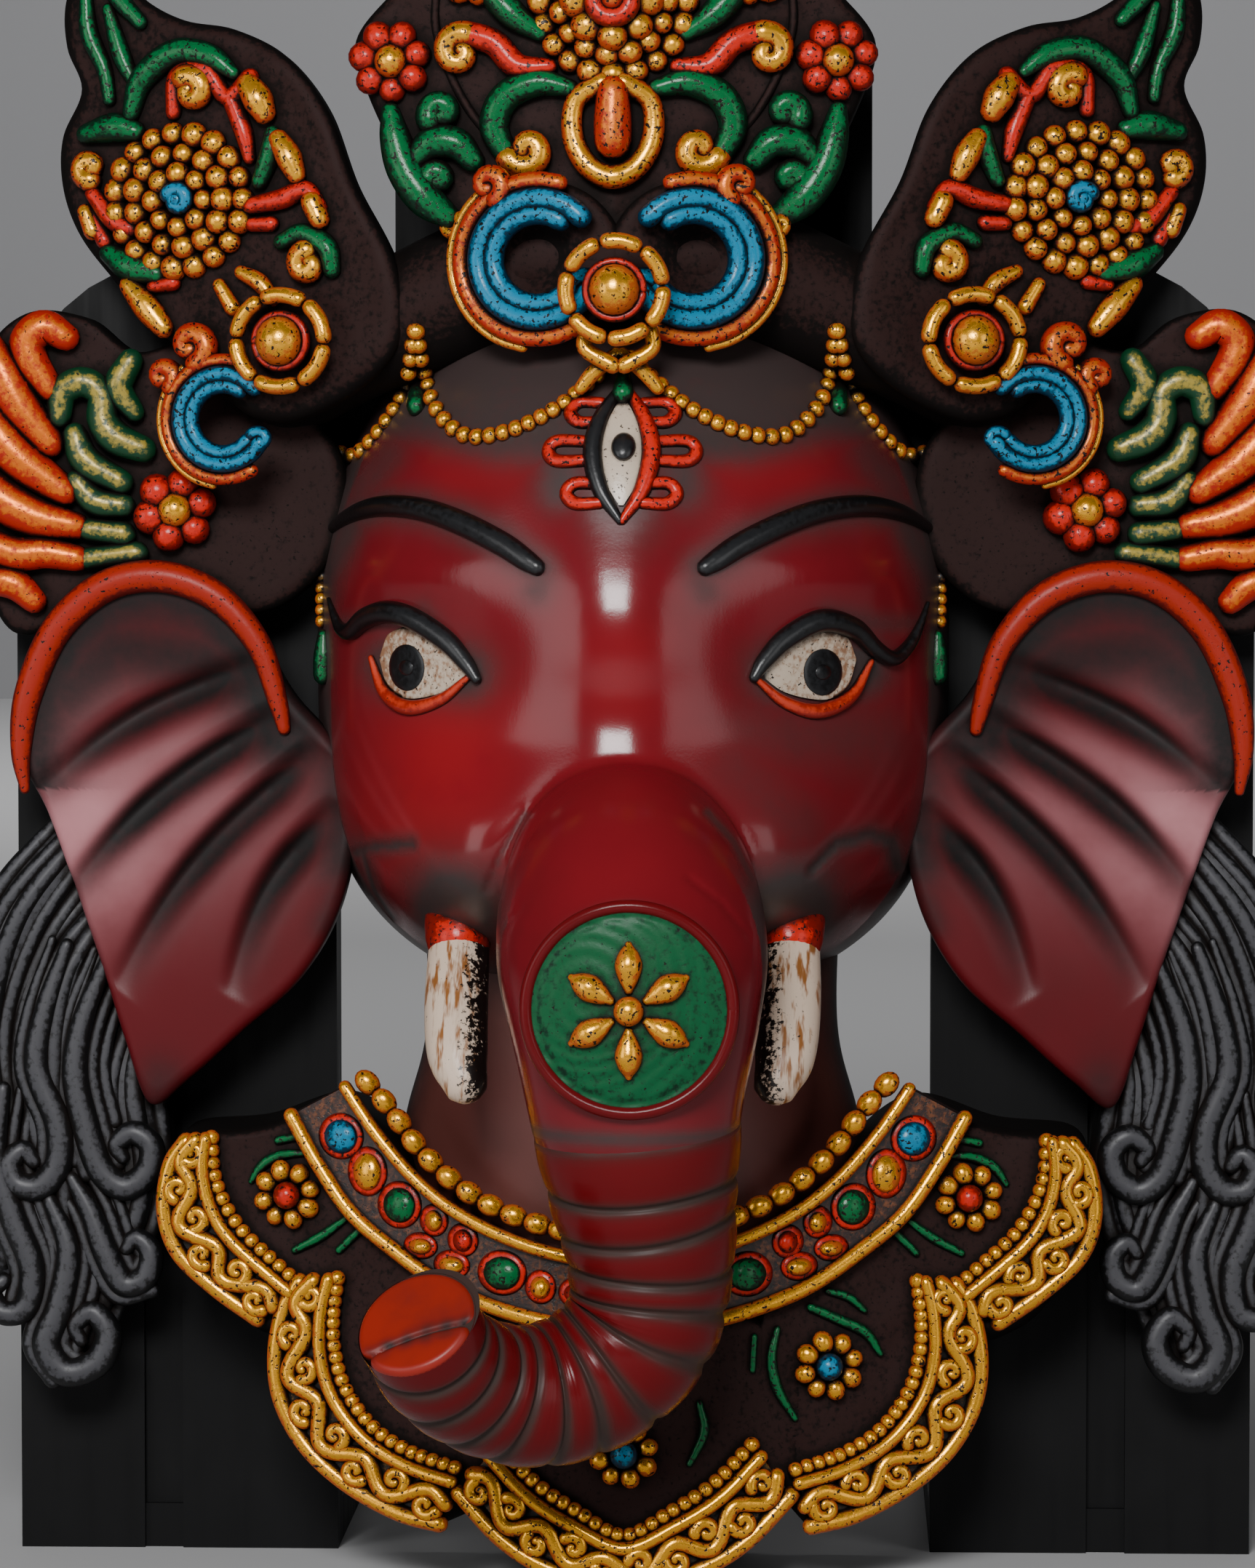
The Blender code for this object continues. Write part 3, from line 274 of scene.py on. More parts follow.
def lacquer(name, red, shade_colour, pale_and_lit_colour, rough=0.3, mottle=0.35, gleam=0.5):
    """Red lacquer that darkens by the mesh's shade attribute and pales by its lighter one; these carry
    airbrushed paint, painted shade on the face and the neck, and painted light on the face.
    """
    material, tree, shader = new_material(name)
    red, shade_colour, pale_and_lit_colour = (colour(*screen) for screen in (red, shade_colour, pale_and_lit_colour))
    place = add(tree, "TexCoord").outputs["Object"]
    clouds = noise(tree, place, LACQUER_CLOUDS, 4.0)
    fine = noise(tree, place, LACQUER_GRAIN, 3.0)
    brown = mix(tree, 0.5, red, colour(62, 26, 22))
    base = mix(tree, ramp(tree, clouds, 0.42, 0.72, 0.0, mottle), red, brown)
    pale_paint_and_painted_light = add(tree, "Attribute", attribute_name="pale_paint_and_painted_light").outputs["Fac"]
    paled = maths(tree, "MULTIPLY", pale_paint_and_painted_light, ramp(tree, clouds, 0.2, 0.6, 0.6, 1.0))
    base = mix(tree, paled, base, pale_and_lit_colour)
    shade = add(tree, "Attribute", attribute_name="shade").outputs["Fac"]
    uneven = maths(tree, "MULTIPLY", maths(tree, "SUBTRACT", fine, 0.5), 0.22)
    wavy = maths(tree, "MULTIPLY", maths(tree, "SUBTRACT", clouds, 0.5), 0.35)
    shaded = maths(tree, "MULTIPLY", shade, 2.0, True)
    uneven = maths(tree, "MULTIPLY", maths(tree, "ADD", uneven, wavy), shaded)
    amount = maths(tree, "ADD", shade, uneven, True)
    hollow = add(tree, "AmbientOcclusion", {"Distance": 0.004}, samples=HOLLOW_SAMPLES).outputs["AO"]
    amount = maths(tree, "MAXIMUM", amount, ramp(tree, hollow, 0.45, 0.12, 0.0, 0.95))
    painted = mix(tree, amount, base, shade_colour)
    tree.links.new(painted, shader.inputs["Base Color"])
    shader.inputs["Specular IOR Level"].default_value = gleam
    tree.links.new(ramp(tree, amount, 0.1, 0.9, rough, rough + 0.2), shader.inputs["Roughness"])
    roughen(tree, shader, noise(tree, place, SCUFF_SIZE, 2.0), 0.05, 0.0002)
    return material


FACE_RED = lacquer("red_lacquer", (114, 21, 30), (62, 51, 50), (148, 27, 34), 0.17, gleam=0.4)
TRUNK_RED = lacquer("trunk_lacquer", (98, 14, 19), (60, 48, 44), (110, 16, 21), 0.24, gleam=0.18)
EAR_RED = lacquer("ear_lacquer", (94, 15, 22), (24, 20, 20), (196, 134, 140), 0.38, gleam=0.22)
NECK_RED = lacquer("neck_lacquer", (104, 58, 52), (30, 23, 22), (124, 58, 52), 0.45, gleam=0.3)
print("lacquers made")

# %% [markdown]
# Most of the relief is drawn with lines: brows, scrolls, strands of hair. A line is a few points of
# x, z and radius, joined by a smooth curve, laid on the surface that carries it, and given a round
# section by a curve object's bevel, as one would roll a thread of modelling wax onto the mask.

# %% Lines and cords
def smooth_line(points, spacing=0.8, closed=False):
    """Points every spacing mm on a smooth curve. The last number of a point is its radius."""
    p = np.array(points, float)
    p = np.vstack([p[-1:], p, p[:2]] if closed else [2 * p[0] - p[1], p, 2 * p[-1] - p[-2]])
    t = np.linspace(0.0, 1.0, 12, endpoint=False)[:, None]
    dense = []
    for a, b, c, d in zip(p[:-3], p[1:-2], p[2:-1], p[3:]):
        curved = (2 * a - 5 * b + 4 * c - d) * t**2 + (3 * b - a - 3 * c + d) * t**3
        dense.append(0.5 * (2 * b + (c - a) * t + curved))
    dense = np.vstack(dense + [p[-2:-1]])
    along = np.concatenate([[0.0], np.cumsum(np.linalg.norm(np.diff(dense[:, :-1], axis=0), axis=1))])
    wanted = np.linspace(0.0, along[-1], max(3, int(round(along[-1] / spacing)) + 1))
    return np.array([np.interp(wanted, along, dense[:, k]) for k in range(p.shape[1])]).T


def lay(line, surface, lift=0.0, spacing=0.8):
    """A line of (x, z, radius) laid on a surface, as points of (x, y, z, radius)."""
    x, z, r = smooth_line(line, spacing).T
    return np.column_stack([x, surface(x, z) - lift, z, r])


def mirrored(line, side):
    """A line of points whose first number is x, on the side asked for."""
    return [(side * p[0], *p[1:]) for p in line]


ROUND_END = ((0.95, 0.12), (0.84, 0.50), (0.50, 0.86))


def rounded_ends(line):
    """The line with three shrinking points added at each end."""
    ends = []
    for here, inner in ((line[0], line[1]), (line[-1], line[-2])):
        out = here[:3] - inner[:3]
        out /= max(np.linalg.norm(out), 1e-6)
        ends.append([np.append(here[:3] + out * here[3] * far, here[3] * size) for far, size in ROUND_END])
    return np.vstack([ends[0], line, ends[1][::-1]])


def cords(lines, sides=8, rounded=True):
    """One mesh of round cords along lines of (x, y, z, radius)."""
    curve = bpy.data.curves.new("cords", "CURVE")
    curve.dimensions = "3D"
    curve.bevel_depth = 1.0
    curve.bevel_resolution = (sides - 4) // 2
    curve.use_fill_caps = True
    for line in lines:
        path = rounded_ends(line) if rounded else line
        spline = curve.splines.new("POLY")
        spline.points.add(len(path) - 1)
        spline.points.foreach_set("co", np.column_stack([path[:, :3], np.ones(len(path))]).ravel())
        spline.points.foreach_set("radius", path[:, 3])
    obj = bpy.data.objects.new("cords", curve)
    bpy.context.scene.collection.objects.link(obj)
    only(obj)
    bpy.ops.object.convert(target="MESH")
    return bpy.context.object


print("a test line of 10 mm has", len(smooth_line([(0, 0, 1), (10, 0, 1)])), "points")

# %% [markdown]
# Beads and petals repeat hundreds of times, so one ball is modelled and then copied into one mesh.
# Flat parts such as leaves and ears are closed skins over rings of points: an outline drawn in
# towards its middle, with a rounded edge and a front that follows a chosen surface.

# %% Copies, skins and plates
def read(obj):
    """A mesh's points as an array."""
    points = np.empty(3 * len(obj.data.vertices))
    obj.data.vertices.foreach_get("co", points)
    return points.reshape(-1, 3)


def write(obj, points):
    """Moves a mesh's points."""
    obj.data.vertices.foreach_set("co", np.asarray(points, float).ravel())
    obj.data.update()


def mesh_object(points, faces):
    """A new mesh object from points and faces."""
    mesh = bpy.data.meshes.new("piece")
    mesh.from_pydata(np.asarray(points, float).tolist(), [], faces)
    obj = bpy.data.objects.new("piece", mesh)
    bpy.context.scene.collection.objects.link(obj)
    return obj


def unit_ball(segments, rings):
    """A new ball of radius 1."""
    bpy.ops.object.select_all(action="DESELECT")
    bpy.ops.mesh.primitive_uv_sphere_add(segments=segments, ring_count=rings, radius=1.0)
    return bpy.context.object


def ball_template(segments=12, rings=8):
    """The points and faces of a small ball of radius 1, to be copied."""
    ball = unit_ball(segments, rings)
    made = read(ball), [tuple(face.vertices) for face in ball.data.polygons]
    bpy.data.objects.remove(ball)
    return made


def copies(template, places):
    """One mesh of a template's copies. A place is a centre, three sizes and a turn in degrees."""
    points, faces = template
    all_points = []
    all_faces = []
    for i, (centre, sizes, turn) in enumerate(places):
        a = math.radians(turn)
        spin = np.array([[math.cos(a), 0, -math.sin(a)], [0, 1, 0], [math.sin(a), 0, math.cos(a)]])
        all_points.append((points * sizes) @ spin.T + np.array(centre))
        all_faces += [tuple(v + i * len(points) for v in face) for face in faces]
    return mesh_object(np.vstack(all_points), all_faces)


def skin(rings):
    """A closed mesh over rings of points, with its two ends closed to their middles."""
    rings = np.asarray(rings, float)
    count, size = rings.shape[:2]
    points = np.vstack([rings.reshape(-1, 3), rings[0].mean(0), rings[-1].mean(0)])
    index = np.arange(count * size).reshape(count, size)
    turned = np.roll(index, -1, axis=1)
    quads = np.stack([index[:-1], turned[:-1], turned[1:], index[1:]], -1).reshape(-1, 4).tolist()
    fans = [(b, a, count * size) for a, b in zip(index[0].tolist(), turned[0].tolist())]
    fans += [(a, b, count * size + 1) for a, b in zip(index[-1].tolist(), turned[-1].tolist())]
    return mesh_object(points, quads + fans)


BACK_BEVEL = 0.4


def plate(outline, centre, front, thickness, edge, rings, spacing=1.0):
    """A closed plate with a rounded front edge."""
    line = smooth_line([(*p, 0.0) for p in outline], spacing, closed=True)[:-1, :2]
    reach = line - np.array(centre)
    size = float(np.linalg.norm(reach, axis=1).mean())
    steps = [(1.0 - edge / size * (1.0 - math.cos(a)), edge * (1.0 - math.sin(a)))
             for a in np.linspace(0.0, math.pi / 2, 5)]
    steps += [(share, 0.0) for share in np.linspace(steps[-1][0], 0.03, rings)[1:]]

    def ring(share, back):
        x, z = (np.array(centre) + reach * share).T
        return np.column_stack([x, front(x, z) + back, z])

    behind = [(0.5, thickness), (0.97, thickness), (1.0, thickness - BACK_BEVEL)]
    return skin([ring(share, back) for share, back in behind + steps])


def joined(objects):
    """Several meshes as one."""
    only(objects[0])
    for obj in objects:
        obj.select_set(True)
    bpy.ops.object.join()
    return bpy.context.object


def attribute(obj, name, values):
    """Keeps a number for each point of a mesh. One number stands for all points."""
    made = obj.data.attributes.new(name, "FLOAT", "POINT")
    made.data.foreach_set("value", np.full(len(obj.data.vertices), values, np.float32))


def fade(across, width, along=0.0, length=1.0):
    """1 where the distances are 0, and softly down to 0 beyond the width and the length."""
    return np.exp(-((across / width) ** 2) - (along / length) ** 2)


def round_turns(count):
    """Evenly spaced angles of a full turn."""
    return np.linspace(0.0, 2 * math.pi, count, endpoint=False)


BALL = ball_template()
print("a bead has", len(BALL[1]), "faces")

# %% [markdown]
# The head is a full ellipsoid with a heavy jaw, and the face's soft swellings are added to its front:
# forehead, nose bridge, the place where the trunk springs, cheeks, and hollows for the eyes. The same
# function gives the height of the face wherever a brow or a bead has to lie on it.

# %% The shape of the head
HEAD_Z = 170.0
HEAD_CENTRE = (0.0, 0.0, HEAD_Z)
HEAD_RADII = (57.0, 60.0, 67.0)
HEAD_DROP = 70.0
JAW_FULLNESS = 3.8
FACE_SWELLINGS = (
    (0.0, 202.0, 34.0, 20.0, 3.0),
    (0.0, 167.0, 20.0, 20.0, 6.5),
    (0.0, 141.5, 17.0, 11.0, 7.0),
    (27.0, 128.0, 17.0, 17.0, 15.0),
    (36.0, 161.0, 12.0, 8.0, -2.5),
    (39.0, 179.0, 15.0, 6.0, 3.0),
)


def head_share(z):
    """The share of its full width and depth that the head has at z."""
    rise = np.clip((z - HEAD_Z) / HEAD_RADII[2], 0.0, 1.0)
    drop = np.clip((HEAD_Z - z) / HEAD_DROP, 0.0, 1.0)
    return np.sqrt(np.clip(1.0 - rise**2 - drop**JAW_FULLNESS, 0.0, 1.0))


def face_relief(x, z):
    """How far the swellings stand out."""
    total = 0.0 * x
    for sx, sz, width, height, rise in FACE_SWELLINGS:
        total += rise * fade(np.abs(x) - sx, width, z - sz, height)
    return total


def head_front(x, z):
    """The y of the face, without the trunk."""
    inside = head_share(z) ** 2 - (x / HEAD_RADII[0]) ** 2
    y = -HEAD_RADII[1] * np.sqrt(np.maximum(inside, 0.02))
    return y - face_relief(x, z) * np.clip(4.0 * inside, 0.0, 1.0)


def head_ball():
    """The head, from a unit ball whose points are moved to the ellipsoid."""
    head = unit_ball(160, 120)
    x, y, z = read(head).T
    flat = np.maximum(np.hypot(x, y), 1e-9)
    height = HEAD_Z + np.where(z > 0.0, HEAD_RADII[2], HEAD_DROP) * z
    share = head_share(height)
    px = HEAD_RADII[0] * share * x / flat
    py = HEAD_RADII[1] * share * y / flat
    relief = face_relief(px, height) * np.clip(4.0 * (py / HEAD_RADII[1]) ** 2, 0.0, 1.0)
    write(head, np.column_stack([px, np.where(py < 0.0, py - relief, py), height]))
    return head


print("nose bridge at y =", round(float(head_front(0.0, 172.0)), 1))

# %% [markdown]
# The upper trunk, the swelling under the medallion and the head have to flow into each other, so they
# are joined and remeshed as one skin, and smoothed. Then the back is cut flat and the head hollowed,
# as the casting is.

# %% Head and upper trunk as one skin
TRUNK_LINE = (
    (0.0, -34.0, 141.0, 9.5), (0.0, -52.0, 134.5, 16.0), (1.5, -68.0, 125.5, 21.5),
    (2.5, -79.0, 115.0, 22.8), (3.0, -83.0, 104.0, 21.0), (3.3, -84.0, 90.0, 18.0),
    (4.5, -82.0, 76.0, 15.8), (5.6, -80.0, 64.0, 14.0), (4.0, -79.0, 53.0, 13.0),
    (-3.5, -80.0, 44.8, 12.5), (-13.0, -83.0, 41.8, 12.0), (-22.0, -89.0, 44.0, 11.2),
    (-28.5, -97.0, 49.5, 10.6), (-32.0, -104.3, 56.8, 10.0),
)
FIRST_GROOVE = 87.0
MEDALLION = (2.8, -104.0, 108.5)
MEDALLION_RADIUS = 16.8
PAD_MARGIN = 2.4
PAD_DEPTH = 15.0
VOXEL = 0.85
SHELL_WALL = 8.0


def ellipsoid(centre, radii):
    """A smooth ellipsoid."""
    made = unit_ball(48, 32)
    write(made, read(made) * radii + np.array(centre))
    return made


def block(low, high):
    """A plain block, to cut with."""
    bpy.ops.object.select_all(action="DESELECT")
    bpy.ops.mesh.primitive_cube_add(size=1.0)
    made = bpy.context.object
    low, high = np.array(low), np.array(high)
    write(made, (read(made) + 0.5) * (high - low) + low)
    return made


def behind():
    """All the space behind the flat back, to cut with."""
    return block((-200, 0, -50), (200, 200, 400))


def shell_hollow(centre, radii):
    """The hollow that leaves a shell of an ellipsoid, to cut with."""
    return ellipsoid(centre, [r - SHELL_WALL for r in radii])


def cut(obj, *cutters):
    """Cuts closed shapes from a closed mesh."""
    for cutter in cutters:
        only(obj)
        modifier = obj.modifiers.new("cut", "BOOLEAN")
        modifier.object = cutter
        modifier.operation = "DIFFERENCE"
        modifier.solver = "MANIFOLD"
        bpy.ops.object.modifier_apply(modifier="cut")
        bpy.data.objects.remove(cutter)
    return obj


def head_and_trunk():
    """The remeshed skin of the head and the upper trunk."""
    upper = [p for p in smooth_line(TRUNK_LINE, 0.8) if p[2] > FIRST_GROOVE - 0.4]
    x, y, z = MEDALLION
    wide = MEDALLION_RADIUS + PAD_MARGIN
    pad = ellipsoid((x, y + PAD_DEPTH + 0.5, z), (wide, PAD_DEPTH, wide))
    made = joined([head_ball(), cords([np.array(upper)], 48), pad])
    made.data.remesh_voxel_size = VOXEL
    only(made)
    bpy.ops.object.voxel_remesh()
    modifier = made.modifiers.new("smooth", "SMOOTH")
    modifier.factor = 0.5
    modifier.iterations = 9
    bpy.ops.object.modifier_apply(modifier="smooth")
    return cut(made, behind(), shell_hollow(HEAD_CENTRE, HEAD_RADII))


face = head_and_trunk()
print("face and upper trunk:", len(face.data.polygons), "faces")

# %% [markdown]
# Creases are pressed into the skin along lines, and the same lines, a little wider, hold the airbrushed
# black. A field of strokes serves both: for every point it gives the strength of the strongest line.
# More strokes of the same kind put painted shade on the right cheek, the side away from the light,
# and painted light on the left cheek.

# %% Creases, airbrushing, painted shade and painted light on the face
def stroke_field(x, z, strokes):
    """The strongest of several soft lines at each point. A stroke is its points, width and strength."""
    total = np.zeros_like(x)
    for line, width, strength in strokes:
        p = np.array(line, float)
        near = np.full_like(x, 1e9)
        for (ax, az), (bx, bz) in zip(p[:-1], p[1:]):
            dx, dz = bx - ax, bz - az
            t = np.clip(((x - ax) * dx + (z - az) * dz) / max(dx * dx + dz * dz, 1e-9), 0.0, 1.0)
            near = np.minimum(near, np.hypot(x - ax - t * dx, z - az - t * dz))
        total = np.maximum(total, strength * fade(near, width))
    return total


CHEEK_CREASE = ((32.5, 128.4), (36.8, 132.4), (42.6, 133.4), (46.5, 131.6), (47.8, 126.6))
LEFT_CHEEK_MARK = ((-36.5, 132.4), (-44.5, 130.8), (-48.5, 129.0))
LEFT_CHEEK_DROP = ((-47.0, 130.0), (-45.0, 122.0), (-42.0, 117.5))
CREASES = (
    (CHEEK_CREASE, 0.9, 1.5),
    (LEFT_CHEEK_MARK, 0.8, 1.1),
    (LEFT_CHEEK_DROP, 0.8, 1.0),
    (((15.0, 139.5), (19.5, 134.5), (22.8, 128.0)), 0.7, 0.6),
    (((12.4, 129.5), (17.5, 125.5), (22.2, 119.6)), 0.6, 0.5),
    (((-16.0, 138.5), (-20.0, 132.0), (-23.0, 125.0)), 0.6, 0.5),
    (((-15.5, 124.2), (-18.5, 121.0), (-20.8, 117.0)), 0.6, 0.5),
)
BROW = (
    (14.3, 180.2, 1.5), (16.5, 181.6, 1.9), (20.5, 184.2, 2.1), (27.7, 187.7, 2.1), (34.8, 190.0, 2.0),
    (41.9, 190.6, 1.9), (47.7, 189.4, 1.6), (52.5, 186.9, 1.1), (54.5, 184.6, 0.6),
)
BROW_SHADE = tuple((x, z) for x, z, _ in BROW)
SIDE_SHADES = (
    (BROW_SHADE, 3.6, 0.95),
    (((13.5, 179.5), (14.5, 176.5)), 3.4, 0.7),
    (((49.0, 187.0), (54.0, 178.0), (56.0, 160.0)), 3.6, 0.9),
    (((24.0, 161.5), (35.0, 172.0), (44.0, 170.0), (51.0, 170.0)), 2.4, 0.6),
    (((27.0, 162.0), (41.0, 162.6)), 5.6, 1.2),
    (((57.0, 158.0), (56.0, 140.0), (52.0, 124.0), (46.0, 113.0)), 4.0, 0.9),
    (((29.0, 121.0), (29.2, 120.0)), 9.5, 1.5),
    (((20.0, 109.0), (40.0, 109.0)), 6.0, 0.95),
    (((10.0, 206.0), (10.5, 194.0)), 5.0, 0.9),
    (((0.0, 206.0), (0.0, 193.0)), 8.0, 1.0),
    (((47.0, 193.0), (42.0, 200.0)), 4.5, 0.6),
)
# The first two strokes are painted shade on the right cheek, the side away from the light. The other three
# darken the creases.
RIGHT_PAINTED_SHADE_AND_CREASES = (
    (((24.0, 152.0), (44.0, 150.0)), 7.0, 0.42),
    (((20.0, 146.0), (30.0, 136.0)), 6.0, 0.38),
    (CHEEK_CREASE, 2.4, 0.85),
    (LEFT_CHEEK_MARK, 2.2, 0.8),
    (LEFT_CHEEK_DROP, 3.2, 0.75),
)
# Lighter strokes. The first is painted light on the left cheek, the side towards the light. The two on the
# forehead are its band of paler red paint, and the last two lighten the nose bridge and the trunk's root.
PAINTED_LIGHT_AND_PALE_RED = (
    (((-30.0, 152.0), (-36.0, 136.0)), 13.0, 0.9),
    (((30.0, 196.0), (20.0, 197.0)), 6.0, 0.5),
    (((-30.0, 196.0), (-20.0, 197.0)), 6.0, 0.4),
    (((0.0, 165.0), (0.0, 160.0)), 8.0, 0.5),
    (((2.0, 141.0), (2.0, 132.0)), 12.0, 0.25),
)
FOREHEAD_BLACK = 198.0
FACE_BACK = -20.0
CHIN = 112.0
TRUNK_FRONT = ((-86.0, 140.0), (-88.0, 130.0), -60.0)
EDGE_SHADE_FROM = -22.0
EDGE_SHADE_START = -26.0


def paint_face(obj):
    """Presses the creases in, airbrushes the face, and paints shade on its right cheek and light on its left.
    """
    points = read(obj)
    x, y, z = points.T
    front = (y < FACE_BACK).astype(float)
    creased = stroke_field(x, z, CREASES)
    points[:, 1] += creased * front * (z > CHIN)
    write(obj, points)
    # Painted shade: the right-hand strokes darken the right cheek, the side away from the light, as well as
    # the creases.
    shade = np.maximum(stroke_field(np.abs(x), z, SIDE_SHADES), stroke_field(x, z, RIGHT_PAINTED_SHADE_AND_CREASES))
    shade = np.maximum(shade, 1.3 * np.clip(creased, 0.0, 0.8))
    crown_edge = FOREHEAD_BLACK + 4.0 * np.clip((np.abs(x) - 22.0) / 14.0, 0.0, 1.0)
    shade = np.maximum(shade, 1.0 / (1.0 + np.exp(-(z - crown_edge) / 1.3)))
    bare, seat, groove_front = TRUNK_FRONT
    shade = np.where((y < bare[0]) & (z < bare[1]), 0.0, shade)
    edge = np.clip((y - EDGE_SHADE_START) / 6.0, 0.0, 0.95)
    shade = np.where(y > EDGE_SHADE_FROM, np.maximum(shade, edge), shade)
    ring = np.abs(np.hypot(x - MEDALLION[0], z - MEDALLION[2]) - MEDALLION_RADIUS)
    shade = np.where((y < seat[0]) & (z < seat[1]), np.maximum(shade, 0.7 * fade(ring, 0.8)), shade)
    shade = np.maximum(shade, 0.9 * fade(z - FIRST_GROOVE, 1.4) * (y < groove_front))
    hollow = np.array(HEAD_RADII) - SHELL_WALL
    inside = (((points - HEAD_CENTRE) / hollow) ** 2).sum(1) < 1.02
    shade = np.where(inside, 1.0, shade)
    attribute(obj, "shade", np.clip(shade, 0.0, 1.0))
    # Painted light: the lighter strokes make the left cheek, the side towards the light, a paler red; they
    # also hold the forehead's paler red band.
    attribute(obj, "pale_paint_and_painted_light", stroke_field(x, z, PAINTED_LIGHT_AND_PALE_RED) * front)


paint_face(face)
cast(face, "face_and_upper_trunk", FACE_RED, 80.0)
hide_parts(MASK)
print("face painted over", len(SIDE_SHADES) + len(RIGHT_PAINTED_SHADE_AND_CREASES), "soft strokes")

# %% [markdown]
# Below the medallion the trunk is ringed. The rings need far finer points than the face, so this part
# is a tube of its own, which starts in the first groove. Each groove is a dip in the tube's radius,
# and the distance to the nearest groove also gives the dark wash that lies in it.

# %% The ringed trunk
GROOVE_HEIGHTS = (87.0, 77.1, 70.0, 63.0, 57.3, 51.2)
CURL_GROOVES = 7
GROOVE_DEPTH = 0.65
GROOVE_WIDTH = 0.65
PILLOW_RISE = 0.3
PILLOW_REACH = 2.8
WASH_REACH = 1.35
TRUNK_SIDES = 64


def trunk_rings():
    """The lower trunk's path, the way along it at each point, and where its grooves are."""
    path = smooth_line(TRUNK_LINE, 0.32)
    path = path[np.argmax(path[:, 2] < FIRST_GROOVE):]
    along = np.concatenate([[0.0], np.cumsum(np.linalg.norm(np.diff(path[:, :3], axis=0), axis=1))])
    falling = path[: int(np.argmin(path[:, 2]))]
    grooves = list(np.interp([-h for h in GROOVE_HEIGHTS], -falling[:, 2], along[: len(falling)]))
    grooves += list(np.linspace(grooves[-1], along[-1] - 5.5, CURL_GROOVES + 1)[1:])
    return path, along, np.array(grooves)


def carve_rings(obj, path, along, grooves):
    """Presses wavering grooves into a plain tube, and leaves their wash as attributes."""
    points = read(obj)
    ring = np.minimum(np.arange(len(points)) // TRUNK_SIDES, len(path) - 1)
    turn = 2 * math.pi * (np.arange(len(points)) % TRUNK_SIDES) / TRUNK_SIDES
    nearest = np.abs(along[ring][:, None] - grooves[None, :]).argmin(1)
    waver = 0.5 * np.sin(turn + 2.3 * nearest) + 0.4 * np.sin(2.0 * turn + 1.7 * nearest)
    waver *= np.clip(along[ring] / 6.0, 0.0, 1.0)
    gap = np.abs((along[ring] + waver)[:, None] - grooves[None, :]).min(1)
    pillow = PILLOW_RISE * (1.0 - fade(gap, PILLOW_REACH))
    sink = GROOVE_DEPTH * fade(gap, GROOVE_WIDTH) - pillow
    centre = path[ring, :3]
    write(obj, centre + (points - centre) * (1.0 - sink / path[ring, 3])[:, None])
    attribute(obj, "shade", np.clip(1.15 * fade(gap, WASH_REACH), 0.0, 0.95))
    attribute(obj, "pale_paint_and_painted_light", 0.3 * np.clip(gap / 3.0, 0.0, 1.0))


trunk_path, trunk_along, trunk_grooves = trunk_rings()
lower_trunk = cords([trunk_path], TRUNK_SIDES, False)
carve_rings(lower_trunk, trunk_path, trunk_along, trunk_grooves)
cast(lower_trunk, "ringed_trunk", TRUNK_RED, 80.0)
print("ringed trunk:", len(trunk_path), "rings of points")

# %% [markdown]
# The trunk ends in a flat face, painted orange-red, with a split across it that marks off the lower
# lip. It is a thick disc, square to the trunk's end. The split and the notches at its two ends are
# dips in the disc, and black brush marks gather around the split.

# %% The trunk's tip
TIP_RADIUS = 10.1
SPLIT_ANGLE = math.radians(-27.0)
SPLIT_BELOW = 3.0
SPLIT_BOW = 0.012
SPLIT_WIDTH = 0.55
SPLIT_DEPTH = 0.75


def trunk_tip():
    """The disc that closes the trunk."""
    out = trunk_path[-1, :3] - trunk_path[-6, :3]
    out /= np.linalg.norm(out)
    right = np.cross(out, (0.0, 0.0, 1.0))
    right /= np.linalg.norm(right)
    up = np.cross(right, out)
    turns = round_turns(120)
    lean = np.array([math.cos(SPLIT_ANGLE), math.sin(SPLIT_ANGLE)])
    rings = []
    closeness = []
    profile = [(1.0, -3.0), (1.02, -0.6), (0.985, 0.15), (0.94, 0.45)]
    profile += [(share, 0.5) for share in np.linspace(0.9, 0.02, 34)]
    for share, rise in profile:
        u, v = TIP_RADIUS * share * np.cos(turns), TIP_RADIUS * share * np.sin(turns)
        across = -u * lean[1] + v * lean[0] + SPLIT_BELOW
        across += SPLIT_BOW * (u * lean[0] + v * lean[1]) ** 2
        rim = 1.0 - 0.09 * fade(across, 2 * SPLIT_WIDTH)
        lip = np.where(across < 0.0, 0.5, 0.0) * np.clip(-across, 0.0, 1.0)
        height = rise + lip - SPLIT_DEPTH * fade(across, SPLIT_WIDTH)
        centre = trunk_path[-1, :3]
        rings.append(centre + np.outer(u * rim, right) + np.outer(v * rim, up) + np.outer(height, out))
        scratched = 0.8 + 0.4 * np.sin(0.9 * u + 0.4 * v) * np.sin(0.7 * u - 1.1 * v)
        closeness.append(fade(across, 1.9) * scratched * (1.0 if rise > 0.2 else 0.3))
    made = skin(rings)
    attribute(made, "shade", np.append(np.concatenate(closeness), [0.0, 0.0]) * 0.9)
    attribute(made, "pale_paint_and_painted_light", 0.0)
    return made


TIP_RED = lacquer("tip_orange", (150, 34, 22), (26, 16, 15), (176, 56, 34), 0.4, 0.8, 0.4)
cast(trunk_tip(), "trunk_tip", TIP_RED, 80.0)
print("trunk tip at", [round(float(v)) for v in trunk_path[-1, :3]])

# %% [markdown]
# The round plaque on the trunk is slightly domed and brushed green, with fine strokes left by the
# brush. It carries a plain gilt blossom of six drop-shaped petals around a ball.

